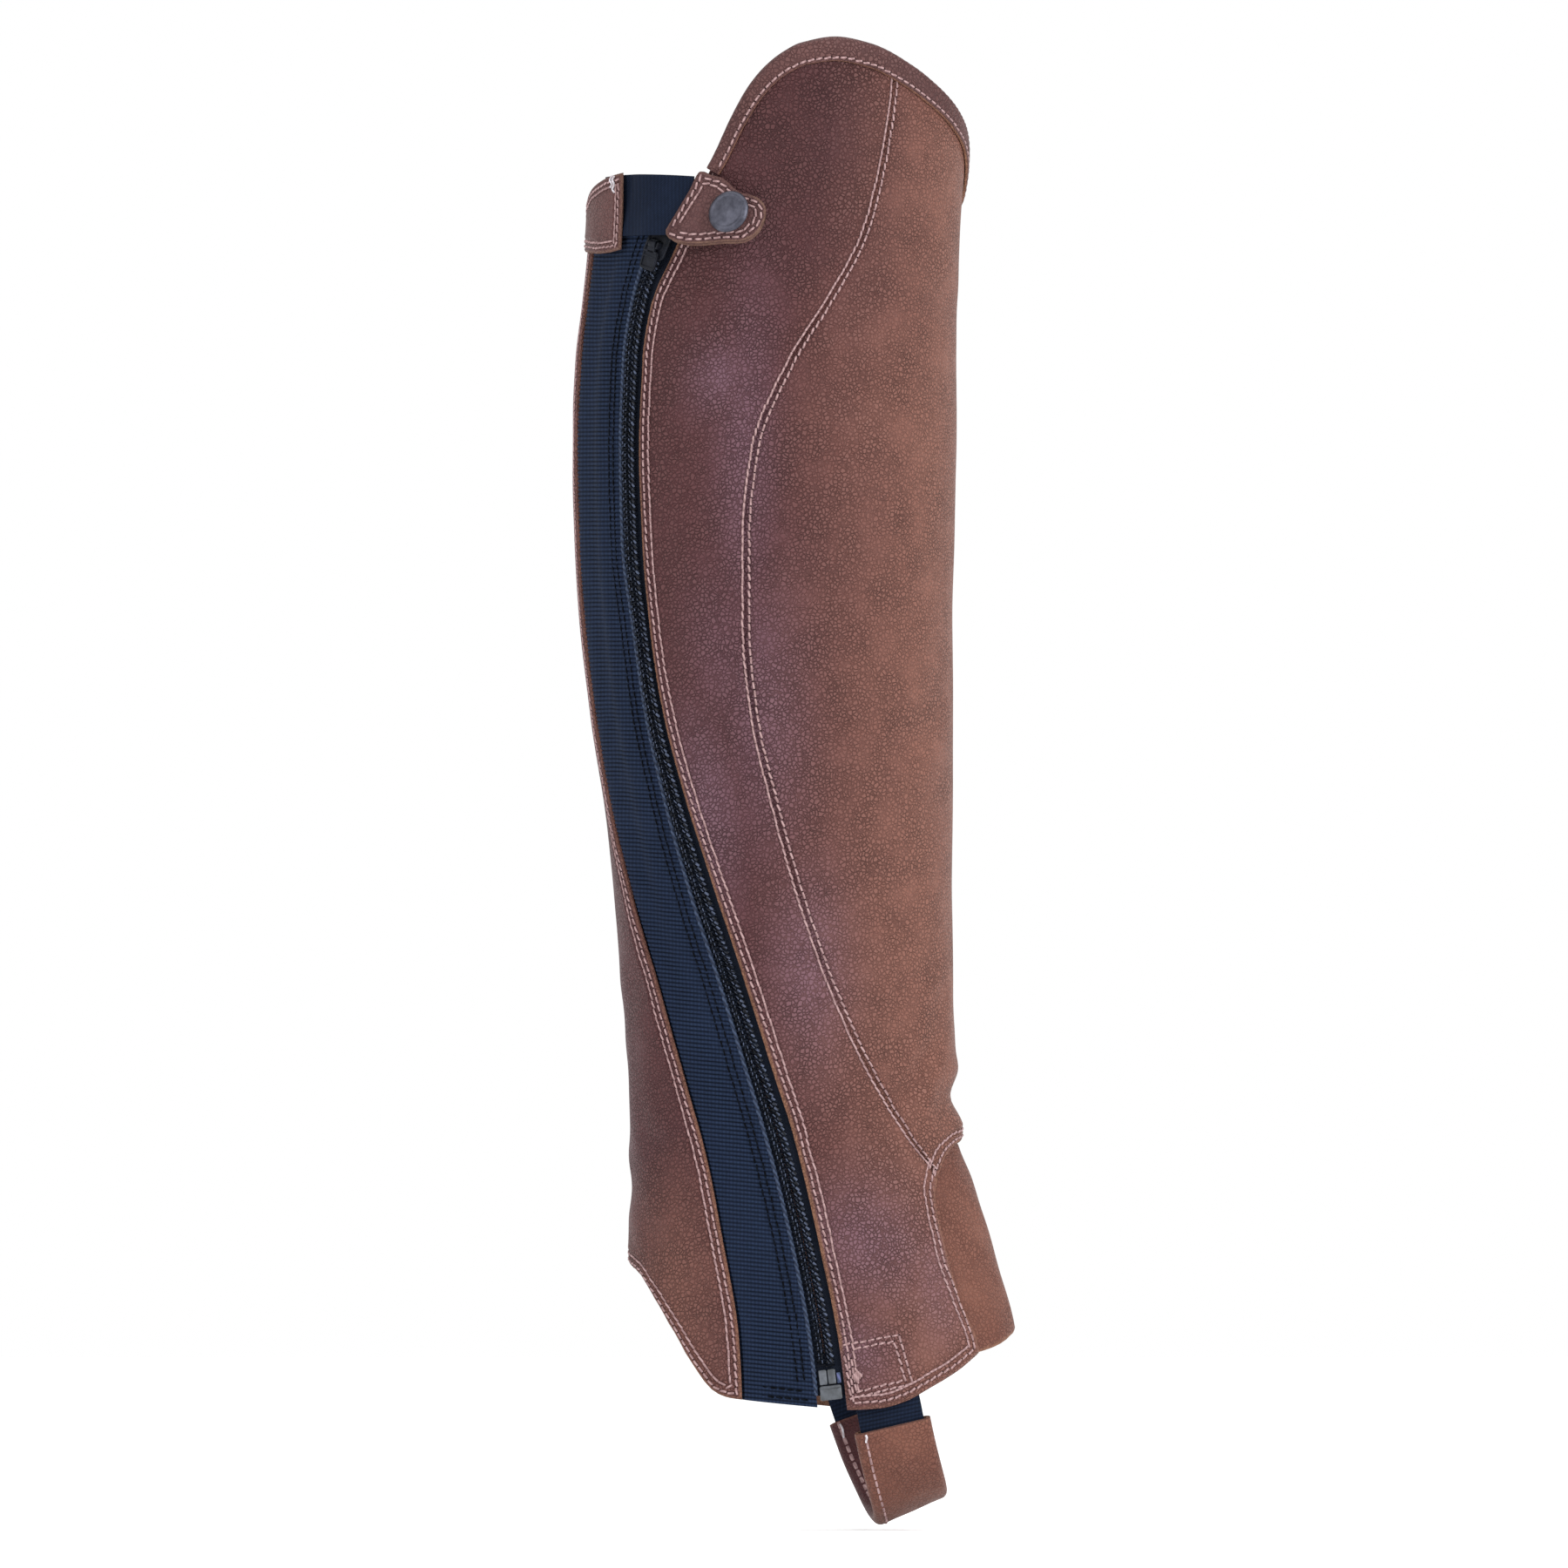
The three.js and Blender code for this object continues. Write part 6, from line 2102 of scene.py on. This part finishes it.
class HALFCHAP_OT_stage(bpy.types.Operator):
    """Make the floor, the soft light and the camera"""

    bl_idname = "half_chap.stage"
    bl_label = "Stage"

    def execute(self, context):
        build_stage(context)
        return {"FINISHED"}


class HALFCHAP_OT_panels(bpy.types.Operator):
    """Make the outer and the inner leather panel"""

    bl_idname = "half_chap.panels"
    bl_label = "Leather panels"

    def execute(self, context):
        build_outer_panel(context)
        build_inner_panel(context)
        return {"FINISHED"}


class HALFCHAP_OT_gusset(bpy.types.Operator):
    """Make the softer leather over the instep"""

    bl_idname = "half_chap.gusset"
    bl_label = "Instep gusset"

    def execute(self, context):
        build_gusset(context)
        return {"FINISHED"}


class HALFCHAP_OT_binding(bpy.types.Operator):
    """Make the strip folded over the top edge"""

    bl_idname = "half_chap.binding"
    bl_label = "Top binding"

    def execute(self, context):
        build_binding(context)
        return {"FINISHED"}


class HALFCHAP_OT_gore(bpy.types.Operator):
    """Make the ribbed elastic beside the zip, with its edge and stitches"""

    bl_idname = "half_chap.gore"
    bl_label = "Elastic gore"

    def execute(self, context):
        build_gore(context)
        return {"FINISHED"}


class HALFCHAP_OT_zip(bpy.types.Operator):
    """Make the zip's tapes, coil and lower end"""

    bl_idname = "half_chap.zip"
    bl_label = "Zip"

    def execute(self, context):
        build_tapes(context)
        build_coil(context)
        build_zip_ends(context)
        return {"FINISHED"}


class HALFCHAP_OT_slider(bpy.types.Operator):
    """Make the zip's slider and the pull that hangs from it"""

    bl_idname = "half_chap.slider"
    bl_label = "Slider and pull"

    def execute(self, context):
        build_slider(context)
        build_pull(context)
        return {"FINISHED"}


class HALFCHAP_OT_snap(bpy.types.Operator):
    """Make the snap's elastic band, corner patch, tab and button"""

    bl_idname = "half_chap.snap"
    bl_label = "Snap closure"

    def execute(self, context):
        build_band(context)
        build_patch(context)
        build_tab(context)
        build_cap(context)
        return {"FINISHED"}


class HALFCHAP_OT_strap(bpy.types.Operator):
    """Make the elastic strap under the foot and its leather sleeve"""

    bl_idname = "half_chap.strap"
    bl_label = "Foot strap"

    def execute(self, context):
        build_strap(context)
        build_sleeve(context)
        return {"FINISHED"}


class HALFCHAP_OT_stitching(bpy.types.Operator):
    """Make the stitching of the panels, the seam and the binding"""

    bl_idname = "half_chap.stitching"
    bl_label = "Stitching"

    def execute(self, context):
        build_stitching(context)
        return {"FINISHED"}


OPERATORS = (
    HALFCHAP_OT_stage,
    HALFCHAP_OT_panels,
    HALFCHAP_OT_gusset,
    HALFCHAP_OT_binding,
    HALFCHAP_OT_gore,
    HALFCHAP_OT_zip,
    HALFCHAP_OT_slider,
    HALFCHAP_OT_snap,
    HALFCHAP_OT_strap,
    HALFCHAP_OT_stitching,
)


class HALFCHAP_PT_pieces(bpy.types.Panel):
    """Lists the steps that make the half chap"""

    bl_label = "Half chap"
    bl_idname = "HALFCHAP_PT_pieces"
    bl_space_type = "VIEW_3D"
    bl_region_type = "UI"
    bl_category = "Half chap"

    def draw(self, context):
        for operator in OPERATORS:
            self.layout.operator(operator.bl_idname)


CLASSES = (ChapSettings, *OPERATORS, HALFCHAP_PT_pieces)


def register():
    for made in CLASSES:
        bpy.utils.register_class(made)
    bpy.types.Scene.half_chap = bpy.props.PointerProperty(type=ChapSettings)


def unregister():
    del bpy.types.Scene.half_chap
    for made in reversed(CLASSES):
        bpy.utils.unregister_class(made)


def main():
    register()
    for operator in OPERATORS:
        step = operator.bl_idname.split(".")[1]
        getattr(bpy.ops.half_chap, step)()
    sizes = [[list(corner) for corner in box] for box in (CAD_BOX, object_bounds())]


if __name__ == "__main__":
    main()
